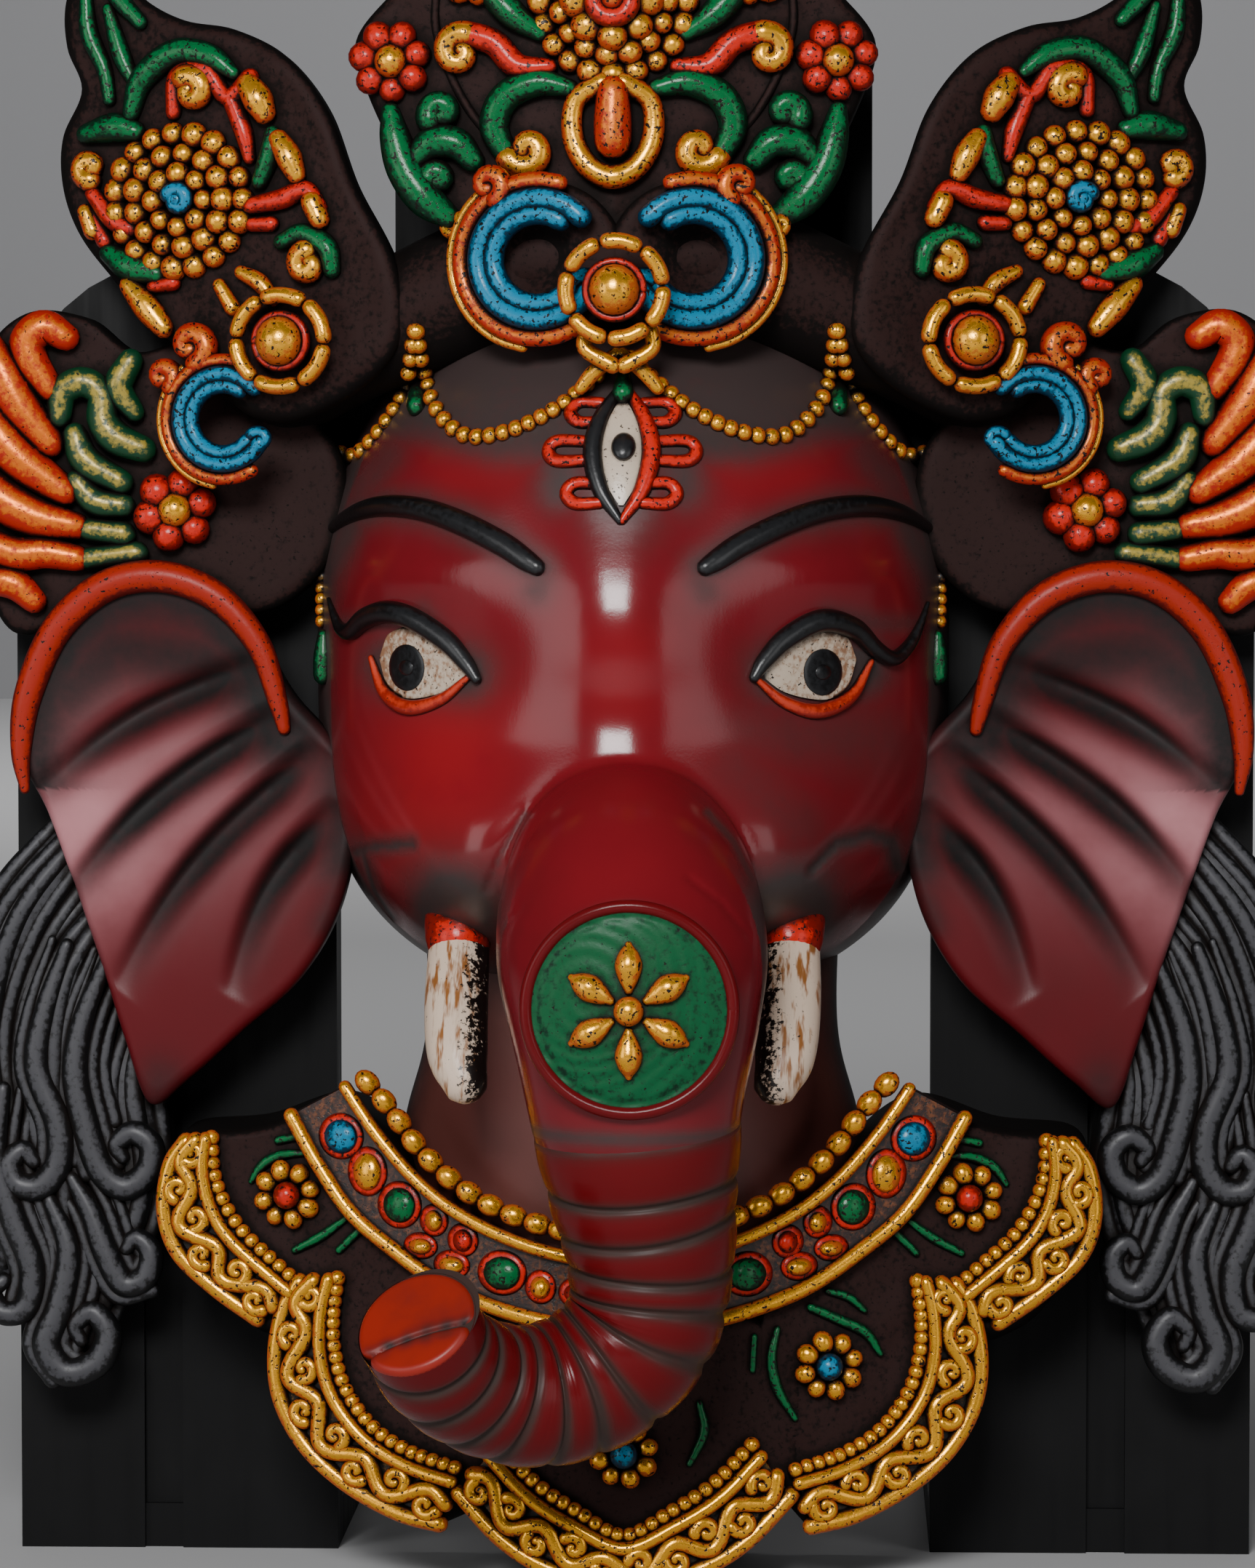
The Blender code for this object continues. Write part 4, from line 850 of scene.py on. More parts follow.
# %% The medallion and its blossom
DISC_STEP = 0.9
DISC_BOW = (0.010, 0.004)
DISC_GROOVE = (0.91, 0.7, 0.22)
RIM_RADIUS = 17.0
RIM_THICKNESS = 1.1
BLOSSOM_PETALS = 6
BLOSSOM_PETAL = ((3.4, 0.8), (5.2, 1.7), (7.4, 2.3), (9.4, 1.7), (10.8, 0.6))
BLOSSOM_HEART = 2.5


def disc_front(x, z):
    """The y of the medallion's face."""
    across, up = DISC_BOW
    return MEDALLION[1] - DISC_STEP + across * (x - MEDALLION[0]) ** 2 + up * (z - MEDALLION[2]) ** 2


def medallion():
    """The green disc: rings that rise to a shallow dome, with fine grooves like brush strokes."""
    x, _, z = MEDALLION
    turns = round_turns(180)
    groove_at, groove_width, groove_depth = DISC_GROOVE
    rings = []
    profile = [(1.0, 5.0), (1.0, 0.9), (0.985, 0.35)] + [(s, 0.0) for s in np.linspace(0.96, 0.02, 60)]
    for share, back in profile:
        dx = MEDALLION_RADIUS * share * np.cos(turns)
        dz = MEDALLION_RADIUS * share * np.sin(turns)
        swirl = np.sin(2.6 * np.hypot(dx + 7.0, dz - 2.0) + 1.2 * np.sin(0.4 * dz))
        strokes = 0.05 * swirl * (1.0 if back == 0.0 else 0.0)
        strokes -= groove_depth * fade((share - groove_at) * MEDALLION_RADIUS, groove_width)
        rings.append(np.column_stack([x + dx, disc_front(x + dx, z + dz) + back - strokes, z + dz]))
    return skin(rings)


def around_disc(angle, far, radius):
    """A point of x, z and radius at an angle round the medallion's middle."""
    return (MEDALLION[0] + far * math.cos(angle), MEDALLION[2] + far * math.sin(angle), radius)


def blossom_petal(i):
    """One drop-shaped petal, as points of x, z and radius."""
    angle = 2.0 * math.pi * (i + 0.5) / BLOSSOM_PETALS
    return [around_disc(angle, far, radius) for far, radius in BLOSSOM_PETAL]


DISC_GREEN = rubbed("brushed_green", (4, 42, 26), (6, 84, 48), 1.02, 0.68, rough=0.5, shine=0.4, gleam=0.2)
cast(medallion(), "medallion", DISC_GREEN, 60.0)
disc_edge = [around_disc(a, RIM_RADIUS, RIM_THICKNESS) for a in np.linspace(0.0, 2.0 * math.pi, 73)]
rim = cords([lay(disc_edge, disc_front, -0.3, 0.6)], 16)
attribute(rim, "shade", 0.0)
attribute(rim, "pale_paint_and_painted_light", 0.0)
cast(rim, "medallion_rim", TRUNK_RED, 80.0)
petals = cords([lay(blossom_petal(i), disc_front, 0.3, 0.4) for i in range(BLOSSOM_PETALS)], 12)
heart_place = (MEDALLION[0], MEDALLION[1] - 1.5, MEDALLION[2])
heart = copies(ball_template(24, 16), [(heart_place, (BLOSSOM_HEART,) * 3, 0.0)])
cast(joined([petals, heart]), "medallion_blossom", GILT_SMOOTH)
print("blossom of", BLOSSOM_PETALS, "petals")

# %% [markdown]
# The tusks come out of red ring sockets in black recesses. They are cream with ochre streaks along
# them, so their colour follows two noises: a long, thin one for the streaks, and a fine one for the
# black specks on the side towards the trunk.

# %% Tusks
TUSK = (
    (28.5, -34.0, 126.0, 5.2), (28.6, -46.0, 115.0, 5.3), (28.6, -55.0, 105.0, 5.5),
    (28.0, -61.0, 97.0, 5.2), (26.6, -64.0, 92.6, 4.0),
)
TUSK_SOCKET = (TUSK[0], (28.6, -43.0, 119.0, 6.2), (28.7, -47.0, 115.6, 5.8))


def tusk_ivory():
    """Cream paint with ochre streaks and black specks, streaked along the tusk."""
    material, tree, shader = new_material("tusk_cream")
    place = add(tree, "TexCoord").outputs["Object"]
    drawn = add(tree, "Mapping", {"Vector": place, "Scale": (1.0, 0.2, 0.16), "Rotation": (0.5, 0.0, 0.0)})
    streaks = noise(tree, drawn.outputs["Vector"], 0.0013, 3.0)
    specks = noise(tree, place, 0.0011, 4.0, 0.7)
    speckled = add(tree, "Attribute", attribute_name="shade").outputs["Fac"]
    base = mix(tree, ramp(tree, streaks, 0.49, 0.66), colour(222, 198, 176), colour(146, 92, 44))
    dark = maths(tree, "ADD", specks, maths(tree, "MULTIPLY", speckled, 0.34))
    tree.links.new(mix(tree, ramp(tree, dark, 0.64, 0.72), base, WASH), shader.inputs["Base Color"])
    shader.inputs["Roughness"].default_value = 0.38
    roughen(tree, shader, streaks, 0.2, 0.0003)
    return material


IVORY = tusk_ivory()
for side, word in SIDES:
    tusk = cords([smooth_line(mirrored(TUSK, side), 0.5)], 24)
    inner = np.clip((28.6 - side * read(tusk)[:, 0]) / 5.0, 0.0, 1.0)
    attribute(tusk, "shade", inner)
    cast(tusk, "tusk_" + word, IVORY, 80.0)
    socket = cords([smooth_line(mirrored(TUSK_SOCKET, side), 0.5)], 24)
    cast(socket, "tusk_socket_" + word, RED_ENAMEL, 80.0)
print("tusks", round(TUSK[0][2] - TUSK[-1][2]), "mm long")

# %% [markdown]
# An eye is an almond between two lids. The white is a patch stretched between the lid lines and
# bulging in the middle, with the black iris as a low disc on it. The upper lid is a heavy black
# cord with a flick at its outer end, and the lower lid a thinner orange one.

# %% Eyes and brows
UPPER_LID = {
    -1: ((25.0, 161.0, 0.9), (27.0, 163.8, 1.5), (30.6, 167.6, 1.9), (36.6, 171.2, 2.0), (41.5, 172.2, 2.0),
         (45.5, 171.0, 1.9), (48.6, 168.6, 1.6), (50.6, 169.0, 1.2), (52.0, 171.2, 0.8), (53.3, 174.0, 0.4)),
    1: ((22.6, 161.4, 0.9), (24.4, 164.2, 1.5), (28.2, 168.1, 1.9), (34.0, 170.9, 2.0), (39.5, 169.6, 1.9),
        (43.4, 165.8, 1.6), (46.6, 164.0, 1.4), (49.4, 166.2, 1.2), (51.4, 169.8, 0.8), (52.8, 173.4, 0.4)),
}
LOWER_LID = {
    -1: ((26.6, 161.2, 0.6), (31.4, 157.3, 1.1), (37.4, 155.7, 1.4), (42.0, 158.2, 1.2), (44.6, 164.0, 0.6)),
    1: ((22.9, 161.2, 0.6), (27.6, 157.1, 1.1), (33.4, 155.3, 1.4), (39.2, 157.7, 1.2), (42.7, 163.6, 0.6)),
}
EYE_TOP = ((26.8, 161.9), (30.2, 165.6), (34.5, 168.8), (38.5, 169.8), (41.4, 168.2), (43.0, 164.2))
EYE_BOTTOM = ((26.8, 161.6), (30.2, 159.0), (34.5, 157.6), (38.5, 157.4), (41.6, 159.6), (43.0, 163.8))
WHITE_SHIFT = {-1: 0.0, 1: -2.9}
IRIS = {-1: (-37.9, 162.6), 1: (34.4, 162.0)}
EYE_CENTRE = (34.5, 162.4)
EYE_RADII = (11.0, 8.5)
EYE_BULGE = 2.2


def eye_front(x, z):
    """The y of the eyeball's surface."""
    away = ((np.abs(x) - EYE_CENTRE[0]) / EYE_RADII[0]) ** 2 + ((z - EYE_CENTRE[1]) / EYE_RADII[1]) ** 2
    return head_front(x, z) + 0.8 - EYE_BULGE * np.sqrt(np.clip(1.0 - away, 0.0, 1.0))


def even_picks(line, count):
    """As many of a line's points as asked for, at even steps."""
    return line[np.linspace(0, len(line) - 1, count).round().astype(int)]


def between(low_line, high_line, surface, side=1, spacing=0.35, rows=24, thickness=3.0):
    """A closed patch that spans from one line to another on a surface."""
    lines = [[(x, z, 0.0) for x, z in mirrored(line, side)] for line in (low_line, high_line)]
    lines = [smooth_line(line, spacing)[:, :2] for line in lines]
    count = min(len(line) for line in lines)
    t = np.linspace(0.0, 1.0, rows)[:, None]
    rings = []
    for low, high in zip(*(even_picks(line, count) for line in lines)):
        front = low * (1.0 - t) + high * t
        y = surface(front[:, 0], front[:, 1])
        face_row = np.column_stack([front[:, 0], y, front[:, 1]])
        back_row = face_row[::-1] + (0.0, thickness, 0.0)
        rings.append(np.vstack([face_row, back_row]))
    return skin(rings)


def oval(centre, width, height, surface, lift, rings=10, sides=40):
    """A low closed oval boss on a surface."""
    turns = round_turns(sides)
    made = []
    for share in np.concatenate([[1.0], np.linspace(1.0, 0.05, rings)]):
        x = centre[0] + width * share * np.cos(turns)
        z = centre[1] + height * share * np.sin(turns)
        rise = -lift * math.sqrt(1.0 - min(share, 1.0) ** 2)
        back = 1.5 if not made else 0.0
        made.append(np.column_stack([x, surface(x, z) + rise + back - 0.12, z]))
    return skin(made)


def on_face(line, side, lift, spacing=0.4, sides=12):
    """One cord laid on the face, on the side asked for."""
    return cords([lay(mirrored(line, side), head_front, lift, spacing)], sides)


EYE_WHITE = rubbed("eye_white", (150, 110, 82), (204, 186, 166), 0.84, 0.64, rough=0.35, shine=0.28)
IRIS_BLACK = rubbed("iris_black", (14, 14, 15), (30, 31, 33), 0.9, 0.9, rough=0.3)
LID_ORANGE = rubbed("lid_orange", (150, 28, 16), (196, 58, 30), 0.9, 0.66, rough=0.35)
for side, word in SIDES:
    edges = [[(x + WHITE_SHIFT[side], z) for x, z in line] for line in (EYE_BOTTOM, EYE_TOP)]
    cast(between(*edges, eye_front, side), "eye_white_" + word, EYE_WHITE, 80.0)
    iris = joined([oval(IRIS[side], 3.3, 4.0, eye_front, 0.45), oval(IRIS[side], 1.5, 1.5, eye_front, 1.0)])
    cast(iris, "iris_" + word, IRIS_BLACK, 60.0)
    cast(on_face(UPPER_LID[side], side, 0.9), "upper_lid_" + word, SATIN_BLACK)
    cast(on_face(LOWER_LID[side], side, 0.6), "lower_lid_" + word, LID_ORANGE)
    cast(on_face(BROW, side, 0.3, 0.5, 16), "brow_" + word, SATIN_BLACK, 80.0)
print("eyes", round(EYE_TOP[-1][0] - EYE_TOP[0][0]), "mm wide")

# %% [markdown]
# The third eye stands upright on the forehead, with a black lid on one side and a red one on the
# other, and three red loops to each side of it, like the staples of a clasp.

# %% The third eye
THIRD_EYE_Z = 199.8
THIRD_EDGE = ((0.4, -9.0), (2.7, -5.0), (3.8, 0.0), (2.8, 5.0), (0.4, 9.4))
THIRD_LID = ((0.2, -11.6, 0.7), (3.6, -6.2, 1.5), (5.0, 0.0, 1.75), (3.8, 5.6, 1.5), (0.8, 10.8, 0.8))
LOOPS = ((6.8, 3.6, 9.0), (0.2, 5.4, 12.6), (-7.0, 3.6, 9.4))


def third_front(x, z):
    """The y of the upright eyeball's surface."""
    away = (x / 6.0) ** 2 + ((z - THIRD_EYE_Z) / 11.5) ** 2
    return head_front(x, z) + 0.6 - 1.9 * np.sqrt(np.clip(1.0 - away, 0.0, 1.0))


def loop(dz, near, far, side):
    """One staple: out along the top, round the end and back."""
    z = THIRD_EYE_Z + dz
    bend = far - 1.6
    line = [(near, z + 1.6, 1.15), (bend, z + 1.7, 1.25), (far, z, 1.3), (bend, z - 1.7, 1.25),
            (near, z - 1.6, 1.15)]
    return mirrored(line, side)


edges = [[(side * x, THIRD_EYE_Z + dz) for x, dz in THIRD_EDGE] for side in (-1, 1)]
cast(between(edges[0], edges[1], third_front), "third_eye_white", EYE_WHITE, 80.0)
cast(oval((0.3, THIRD_EYE_Z + 1.0), 2.1, 2.4, third_front, 1.3), "third_pupil", IRIS_BLACK, 60.0)
for side, word, paint in ((-1, "left", SATIN_BLACK), (1, "right", RED_ENAMEL)):
    lid = [(x, THIRD_EYE_Z + dz, r) for x, dz, r in THIRD_LID]
    cast(on_face(lid, side, 0.5), "third_lid_" + word, paint)
staples = [lay(loop(*row, side), head_front, 0.1, 0.4) for row in LOOPS for side in (-1, 1)]
cast(cords(staples, 10), "third_eye_loops", RED_ENAMEL)
print(len(staples), "loops beside the third eye")

# %% [markdown]
# Chains of gilt beads hang across the forehead in swags, with green drops. Every bead is a copy of
# one small ball, set at even steps along a line on the forehead.

# %% The forehead chains
SWAGS = (
    ((1.0, 216.0), (6.0, 211.6), (12.0, 207.0), (20.0, 203.4), (27.5, 202.8), (33.0, 207.4), (35.6, 214.0),
     (36.4, 221.0)),
    ((36.8, 221.0), (39.0, 212.0), (43.5, 204.4), (49.0, 199.6), (54.5, 200.6)),
    ((54.6, 199.4), (54.9, 190.0), (55.2, 180.0), (55.0, 170.0)),
)
DROPS = ((36.8, 212.0, 208.0), (55.2, 195.5, 190.5), (54.6, 167.5, 160.5))
BAND_LINE = (
    (-62.0, -12.0, 211.0, 8.5), (-42.0, -25.0, 222.5, 11.0), (0.0, -33.0, 236.0, 12.0),
    (42.0, -25.0, 222.5, 11.0), (62.0, -12.0, 211.0, 8.5),
)


def hanging_front(x, z):
    """The y of whatever stands foremost, the forehead or the crown's band over it."""
    band_x, *rest = np.array(BAND_LINE).T
    y, height, radius = (np.interp(x, band_x, values) for values in rest)
    bulge = np.sqrt(np.maximum(radius**2 - (z - height) ** 2, 0.0))
    return np.minimum(head_front(x, z), np.where(bulge > 0.0, y - bulge, 0.0))


def even(line, radius):
    """A line of x, z as a line of x, z and one radius."""
    return [(x, z, radius) for x, z in line]


def beads(line, surface, radius, gap, lift):
    """Places for beads at even steps on a line of x, z."""
    return [(p[:3], (radius,) * 3, 0.0) for p in lay(even(line, radius), surface, lift, gap)]


chain = []
for side in (-1, 1):
    for i, swag in enumerate(SWAGS):
        radius = 1.55 if i < 2 else 1.25
        chain += beads(mirrored(swag, side), hanging_front, radius, 2.0 * radius * 0.78, 0.5)
cast(copies(BALL, chain), "forehead_chains", GILT_SMOOTH)
drops = []
for x, top, low in DROPS:
    for side in (-1, 1):
        drop = [(side * x, top, 1.1), (side * x, (top + low) / 2, 1.8), (side * x, low, 1.9)]
        drops.append(lay(drop, hanging_front, 0.8, 0.5))
drops.append(lay([(0.0, 213.5, 1.2), (0.0, 210.0, 1.9)], head_front, 1.6, 0.5))
cast(cords(drops, 10), "green_drops", GREEN_ENAMEL)
print(len(chain), "beads across the forehead")

# %% [markdown]
# Each ear is a thin dished plate with a thick orange rolled rim. Four grooves fan out from the head
# and die away towards the lower lobe, with swollen folds between them. The groove gives the relief,
# the black in it, and the dusty pink on the folds.

# %% Ears
EAR_CENTRE = (79.0, 135.0)
EAR_OUTLINE = (
    (108.5, 145.0), (104.0, 135.0), (99.0, 121.0), (94.5, 108.0), (90.5, 95.0), (86.0, 83.5),
    (79.0, 88.0), (69.0, 97.0), (59.0, 106.0), (52.0, 118.0), (49.0, 132.0), (50.0, 145.0),
    (60.0, 157.0), (66.0, 167.0), (74.0, 174.8), (83.5, 178.0), (94.0, 176.0), (102.5, 168.5),
    (107.5, 157.0),
)
EAR_RIM = (
    (61.4, 151.0, 1.2), (62.6, 156.0, 1.8), (66.0, 166.0, 2.3), (73.5, 174.4, 2.7), (83.5, 178.0, 2.9),
    (93.5, 176.2, 2.9), (102.2, 168.6, 2.8), (107.4, 157.0, 2.6), (108.8, 147.0, 1.9), (108.2, 140.0, 0.9),
)
EAR_HUB = (18.0, 190.0)
EAR_GROOVES = ((-29.6, 54.0, 99.0), (-39.4, 56.0, 105.0), (-48.4, 56.0, 107.0), (-57.2, 62.0, 96.0))
GROOVE_REACH = 2.7
FOLD_HEIGHT = 3.2
EAR_THICKNESS = 8.0
EAR_SHADES = (
    (((50.0, 150.0), (50.0, 128.0)), 7.0, 0.95),
    (((50.0, 128.0), (54.0, 116.0)), 3.0, 0.6),
    (((86.0, 82.0), (84.0, 88.0)), 5.0, 0.6),
)
EAR_RIM_SHADES = (
    ([(x, z) for x, z, _ in EAR_RIM], 10.0, 1.15),
    (((64.0, 156.0), (76.0, 163.0), (92.0, 165.0), (101.0, 157.0)), 7.0, 0.9),
)
EAR_LOBE_TOP = 140.0


def ear_ground(x, z):
    """The y of the ear's plain inner surface."""
    return -18.0 + 0.06 * (np.abs(x) - 56.0)


def ear_grooves(x, z):
    """How deep in a groove each point of an ear lies, from 0 to 1."""
    dx, dz = np.abs(x) - EAR_HUB[0], z - EAR_HUB[1]
    radius = np.hypot(dx, dz)
    angle = np.degrees(np.arctan2(dz, dx))
    total = np.zeros_like(x)
    for middle, near, far in EAR_GROOVES:
        bent = middle + 2.0 * np.sin((radius - near) / (far - near) * math.pi)
        away = np.radians(angle - bent) * radius
        width = GROOVE_REACH * np.where(away < 0.0, 1.5, 0.75)
        ends = np.clip((radius - near) / 12.0, 0.0, 1.0) * np.clip((far + 6.0 - radius) / 26.0, 0.0, 1.0)
        total = np.maximum(total, ends**0.7 * fade(away, width))
    return total


def ear_front(x, z):
    """The y of the ear with its folds."""
    dish = 2.0 * fade(np.abs(x) - 86.0, 14.0, z - 160.0, 12.0)
    return ear_ground(x, z) - FOLD_HEIGHT * (1.0 - ear_grooves(x, z)) + dish


def paint_ear(obj):
    """Airbrushes one ear."""
    x, y, z = read(obj).T
    x = np.abs(x)
    groove = ear_grooves(x, z)
    under_rim = stroke_field(x, z, EAR_RIM_SHADES) * (z > EAR_LOBE_TOP)
    shade = np.maximum.reduce([np.clip(1.4 * groove, 0.0, 1.0), stroke_field(x, z, EAR_SHADES), under_rim])
    outer = fade(x - 101.0, 13.0, z - 130.0, 14.0)
    crests = 0.4 * fade(x - 80.0, 18.0, z - 138.0, 17.0)
    attribute(obj, "shade", np.clip(shade, 0.0, 1.0) * 0.95)
    attribute(obj, "pale_paint_and_painted_light", np.clip(outer + crests, 0.0, 0.85) * (1.0 - groove) ** 2)


RIM_ORANGE = rubbed("rim_orange", (100, 22, 16), (160, 38, 21), 0.8, 0.64, rough=0.5, shine=0.38, gleam=0.22)
for side, word in SIDES:
    centre = (side * EAR_CENTRE[0], EAR_CENTRE[1])
    ear = plate(mirrored(EAR_OUTLINE, side), centre, ear_front, EAR_THICKNESS, 2.2, 76, 0.7)
    paint_ear(ear)
    cast(ear, "ear_" + word, EAR_RED, 80.0)
    rim = cords([lay(mirrored(EAR_RIM, side), ear_ground, 3.2, 0.6)], 24)
    cast(rim, "ear_rim_" + word, RIM_ORANGE)
print("each ear has", len(EAR_GROOVES), "grooves")

# %% [markdown]
# The ornaments are all drawn in the same way: strokes of red or green that end in a gilt curl, petals
# round a boss, and rings of beads. The next helpers make one line of each, and the lines of a whole
# ornament are gathered by their paint.

# %% Scrolls, flowers and bead rings
PAINTS = {"gold": GILT, "smooth": GILT_SMOOTH, "orange": GILT_ORANGE, "red": RED_ENAMEL,
          "green": GREEN_ENAMEL, "blue": BLUE_ENAMEL}


def volute(centre, radius, start, turn, thickness, inner=0.22):
    """A spiral line of (x, z, radius) that winds in to its centre. Angles are in degrees."""
    t = np.linspace(0.0, 1.0, 26)
    a = np.radians(start + turn * t)
    r = radius * (1.0 - (1.0 - inner) * t)
    thick = thickness * (1.0 - 0.25 * t)
    return np.column_stack([centre[0] + r * np.cos(a), centre[1] + r * np.sin(a), thick]).tolist()


def curl_after(line, radius, turn, thickness):
    """A spiral that carries on from a line's end, to the left for a positive turn."""
    (ax, az, _), (bx, bz, _) = line[-2], line[-1]
    heading = math.degrees(math.atan2(bz - az, bx - ax))
    side = 1.0 if turn > 0 else -1.0
    a = math.radians(heading + 90.0 * side)
    centre = (bx + radius * math.cos(a), bz + radius * math.sin(a))
    return volute(centre, radius, heading - 90.0 * side, turn, thickness)


def ring_line(centre, radius, start, end, thickness):
    """A line of (x, z, radius) round an arc, angles in degrees."""
    a = np.radians(np.linspace(start, end, max(4, int(abs(end - start) / 15) + 2)))
    return [(centre[0] + radius * math.cos(v), centre[1] + radius * math.sin(v), thickness) for v in a]


def height_at(surface, x, z):
    """The y of a surface at one point."""
    return float(surface(np.array([x]), np.array([z]))[0])


def bead_ring(centre, radius, count, size, surface, lift, stretch=1.0, first=0.0):
    """Places for beads or petals in a ring. stretch lengthens them outwards."""
    places = []
    for i in range(count):
        turn = first + 360.0 * i / count
        a = math.radians(turn)
        x, z = centre[0] + radius * math.cos(a), centre[1] + radius * math.sin(a)
        y = height_at(surface, x, z) - lift - 0.25 * math.sin(3.3 * i)
        fat = size * (1.0 + 0.08 * math.sin(5.1 * i + radius))
        places.append(((x, y, z), (fat * stretch, fat * 0.95, fat), turn))
    return places


def dot(centre, size, surface, lift, flat):
    """The place for one ball on a surface."""
    x, z = centre
    return ((x, height_at(surface, x, z) - lift, z), (size, size * flat, size), 0.0)


class Ornament:
    """Gathers cords and balls by paint, for both sides, and then makes one piece of each paint."""

    def __init__(self, name, surface, fullness=1.0, lean=0.0):
        self.name = name
        self.surface = surface
        self.fullness = fullness
        self.lean = lean
        self.lines = {}
        self.balls = {}

    def stroke(self, paint, line, lift=1.0, sides=(-1, 1), lean=0.0):
        """One cord, mirrored to the sides asked for. A lean moves both sides the same way."""
        lean += self.lean
        for side in sides:
            placed = [(side * x + lean, z, r * self.fullness) for x, z, r in line]
            self.lines.setdefault(paint, []).append(lay(placed, self.surface, lift, 0.55))

    def scroll(self, paint, line, radius, turn, thickness):
        """A painted stroke that ends in a gilt curl."""
        self.stroke(paint, line, 1.2)
        self.stroke("gold", curl_after(line, radius, turn, thickness), 1.7)

    def ring(self, paint, centre, radius, count, size, lift, sides=(-1, 1), stretch=1.0, first=0.0):
        """A ring of beads or petals."""
        for side in sides:
            middle = (side * centre[0] + self.lean, centre[1])
            places = bead_ring(middle, radius, count, size, self.surface, lift, stretch, first)
            self.balls.setdefault(paint, []).extend(places)

    def ball(self, paint, centre, size, lift, sides=(-1, 1), lean=0.0, flat=1.0):
        """One ball, mirrored to the sides asked for."""
        for side in sides:
            middle = (side * centre[0] + lean + self.lean, centre[1])
            self.balls.setdefault(paint, []).append(dot(middle, size, self.surface, lift, flat))

    def flower(self, centre, radius, petals, paint, heart, size, lift=1.0, stretch=1.2, sides=(-1, 1)):
        """Petals round a ball."""
        self.ring(paint, centre, radius - size, petals, size, lift, sides, stretch, 15.0)
        self.ball(heart, centre, radius * 0.42, lift + 0.9, sides)

    def make(self):
        """One piece for each paint."""
        for paint in sorted(set(self.lines) | set(self.balls)):
            parts = []
            if paint in self.lines:
                parts.append(cords(self.lines[paint], 10))
            if paint in self.balls:
                parts.append(copies(BALL, self.balls[paint]))
            made = joined(parts) if len(parts) > 1 else parts[0]
            cast(made, self.name + "_" + paint, PAINTS[paint])
        print(self.name, {paint: len(lines) for paint, lines in self.lines.items()})


print("ornament paints:", ", ".join(PAINTS))

# %% [markdown]
# Above each ear a fan of feathers stands on a dark ground: long red ones with gilt backs outside,
# short green ones inside, a hooked one at the top, and a red flower where they meet the crown. A
# feather is one thick tapering cord, and the gilt on its back is the bright coat of its paint.

# %% Feather fans
FAN_CENTRE = (95.0, 196.0)
FAN_OUTLINE = (
    (111.0, 168.0), (117.0, 182.0), (118.5, 201.0), (116.0, 217.0), (108.0, 225.0), (97.0, 224.0),
    (88.0, 218.0), (76.0, 221.0), (64.0, 214.0), (52.0, 200.0), (52.0, 184.0), (64.0, 172.0),
    (83.0, 172.0), (98.0, 170.0),
)
RED_FEATHERS = (
    ((103.5, 211.5, 2.0), (106.6, 216.0, 2.5), (107.4, 219.8, 2.6), (104.4, 222.4, 2.5), (100.6, 220.6, 2.0)),
    ((103.6, 201.8, 2.2), (108.9, 208.5, 3.0), (112.0, 214.5, 3.0), (114.0, 218.5, 2.2)),
    ((101.0, 193.2, 2.2), (108.2, 198.4, 3.1), (113.0, 203.6, 3.2), (116.2, 209.0, 2.4)),
    ((99.0, 187.0, 2.0), (106.2, 188.6, 2.9), (112.4, 192.0, 3.1), (116.8, 197.0, 2.4)),
    ((98.6, 181.2, 1.9), (104.5, 182.2, 2.3), (110.0, 182.0, 2.5), (116.0, 184.5, 2.2)),
    ((106.5, 173.6, 1.8), (110.0, 176.6, 2.3), (114.5, 177.4, 2.2)),
)
GREEN_FEATHERS = (
    ((101.8, 206.5, 1.7), (101.0, 210.9, 2.1), (97.5, 212.6, 2.2), (94.2, 210.4, 2.1), (93.9, 205.8, 2.3),
     (91.5, 202.6, 2.4), (86.7, 200.6, 1.9)),
    ((88.9, 216.3, 1.8), (91.1, 211.7, 2.1), (88.3, 207.3, 1.5)),
    ((99.0, 203.2, 1.8), (97.0, 198.6, 2.2), (90.7, 194.8, 1.8)),
    ((98.8, 195.0, 1.6), (95.4, 191.4, 2.0), (90.2, 190.6, 1.7)),
    ((96.8, 186.4, 1.6), (90.3, 185.6, 1.8)),
    ((96.8, 181.2, 1.6), (87.9, 182.2, 1.7)),
)


def fan_front(x, z):
    """The y of the ground behind the feathers."""
    return -14.0 - 0.06 * (118.0 - np.abs(x))


PAINTS["long"] = rubbed("gilt_red_feather", (170, 34, 18), (228, 116, 28), 1.06, 0.66, metal=0.45, gleam=0.22)
PAINTS["short"] = rubbed("gilt_green_feather", (6, 60, 34), (170, 148, 60), 1.10, 0.68, metal=0.2)
fan = Ornament("feathers", fan_front, 1.28)
for paint, feathers in (("long", RED_FEATHERS), ("short", GREEN_FEATHERS)):
    for feather in feathers:
        fan.stroke(paint, feather, 1.9)
fan.flower((80.9, 189.8), 7.6, 6, "red", "smooth", 3.0, 2.0, 1.05)
fan.make()
for side, word in SIDES:
    centre = (side * FAN_CENTRE[0], FAN_CENTRE[1])
    ground = plate(mirrored(FAN_OUTLINE, side), centre, fan_front, 9.0, 2.0, 20)
    cast(ground, "fan_ground_" + word, DARK_GROUND, 60.0)
print(len(RED_FEATHERS) + len(GREEN_FEATHERS), "feathers a side")

# %% [markdown]
# The crown has one tall middle leaf and two side leaves that lean back round the head. Their bodies
# are thick dark plates. The middle one is keeled, and carries a pointed inner leaf marked by a ridge.

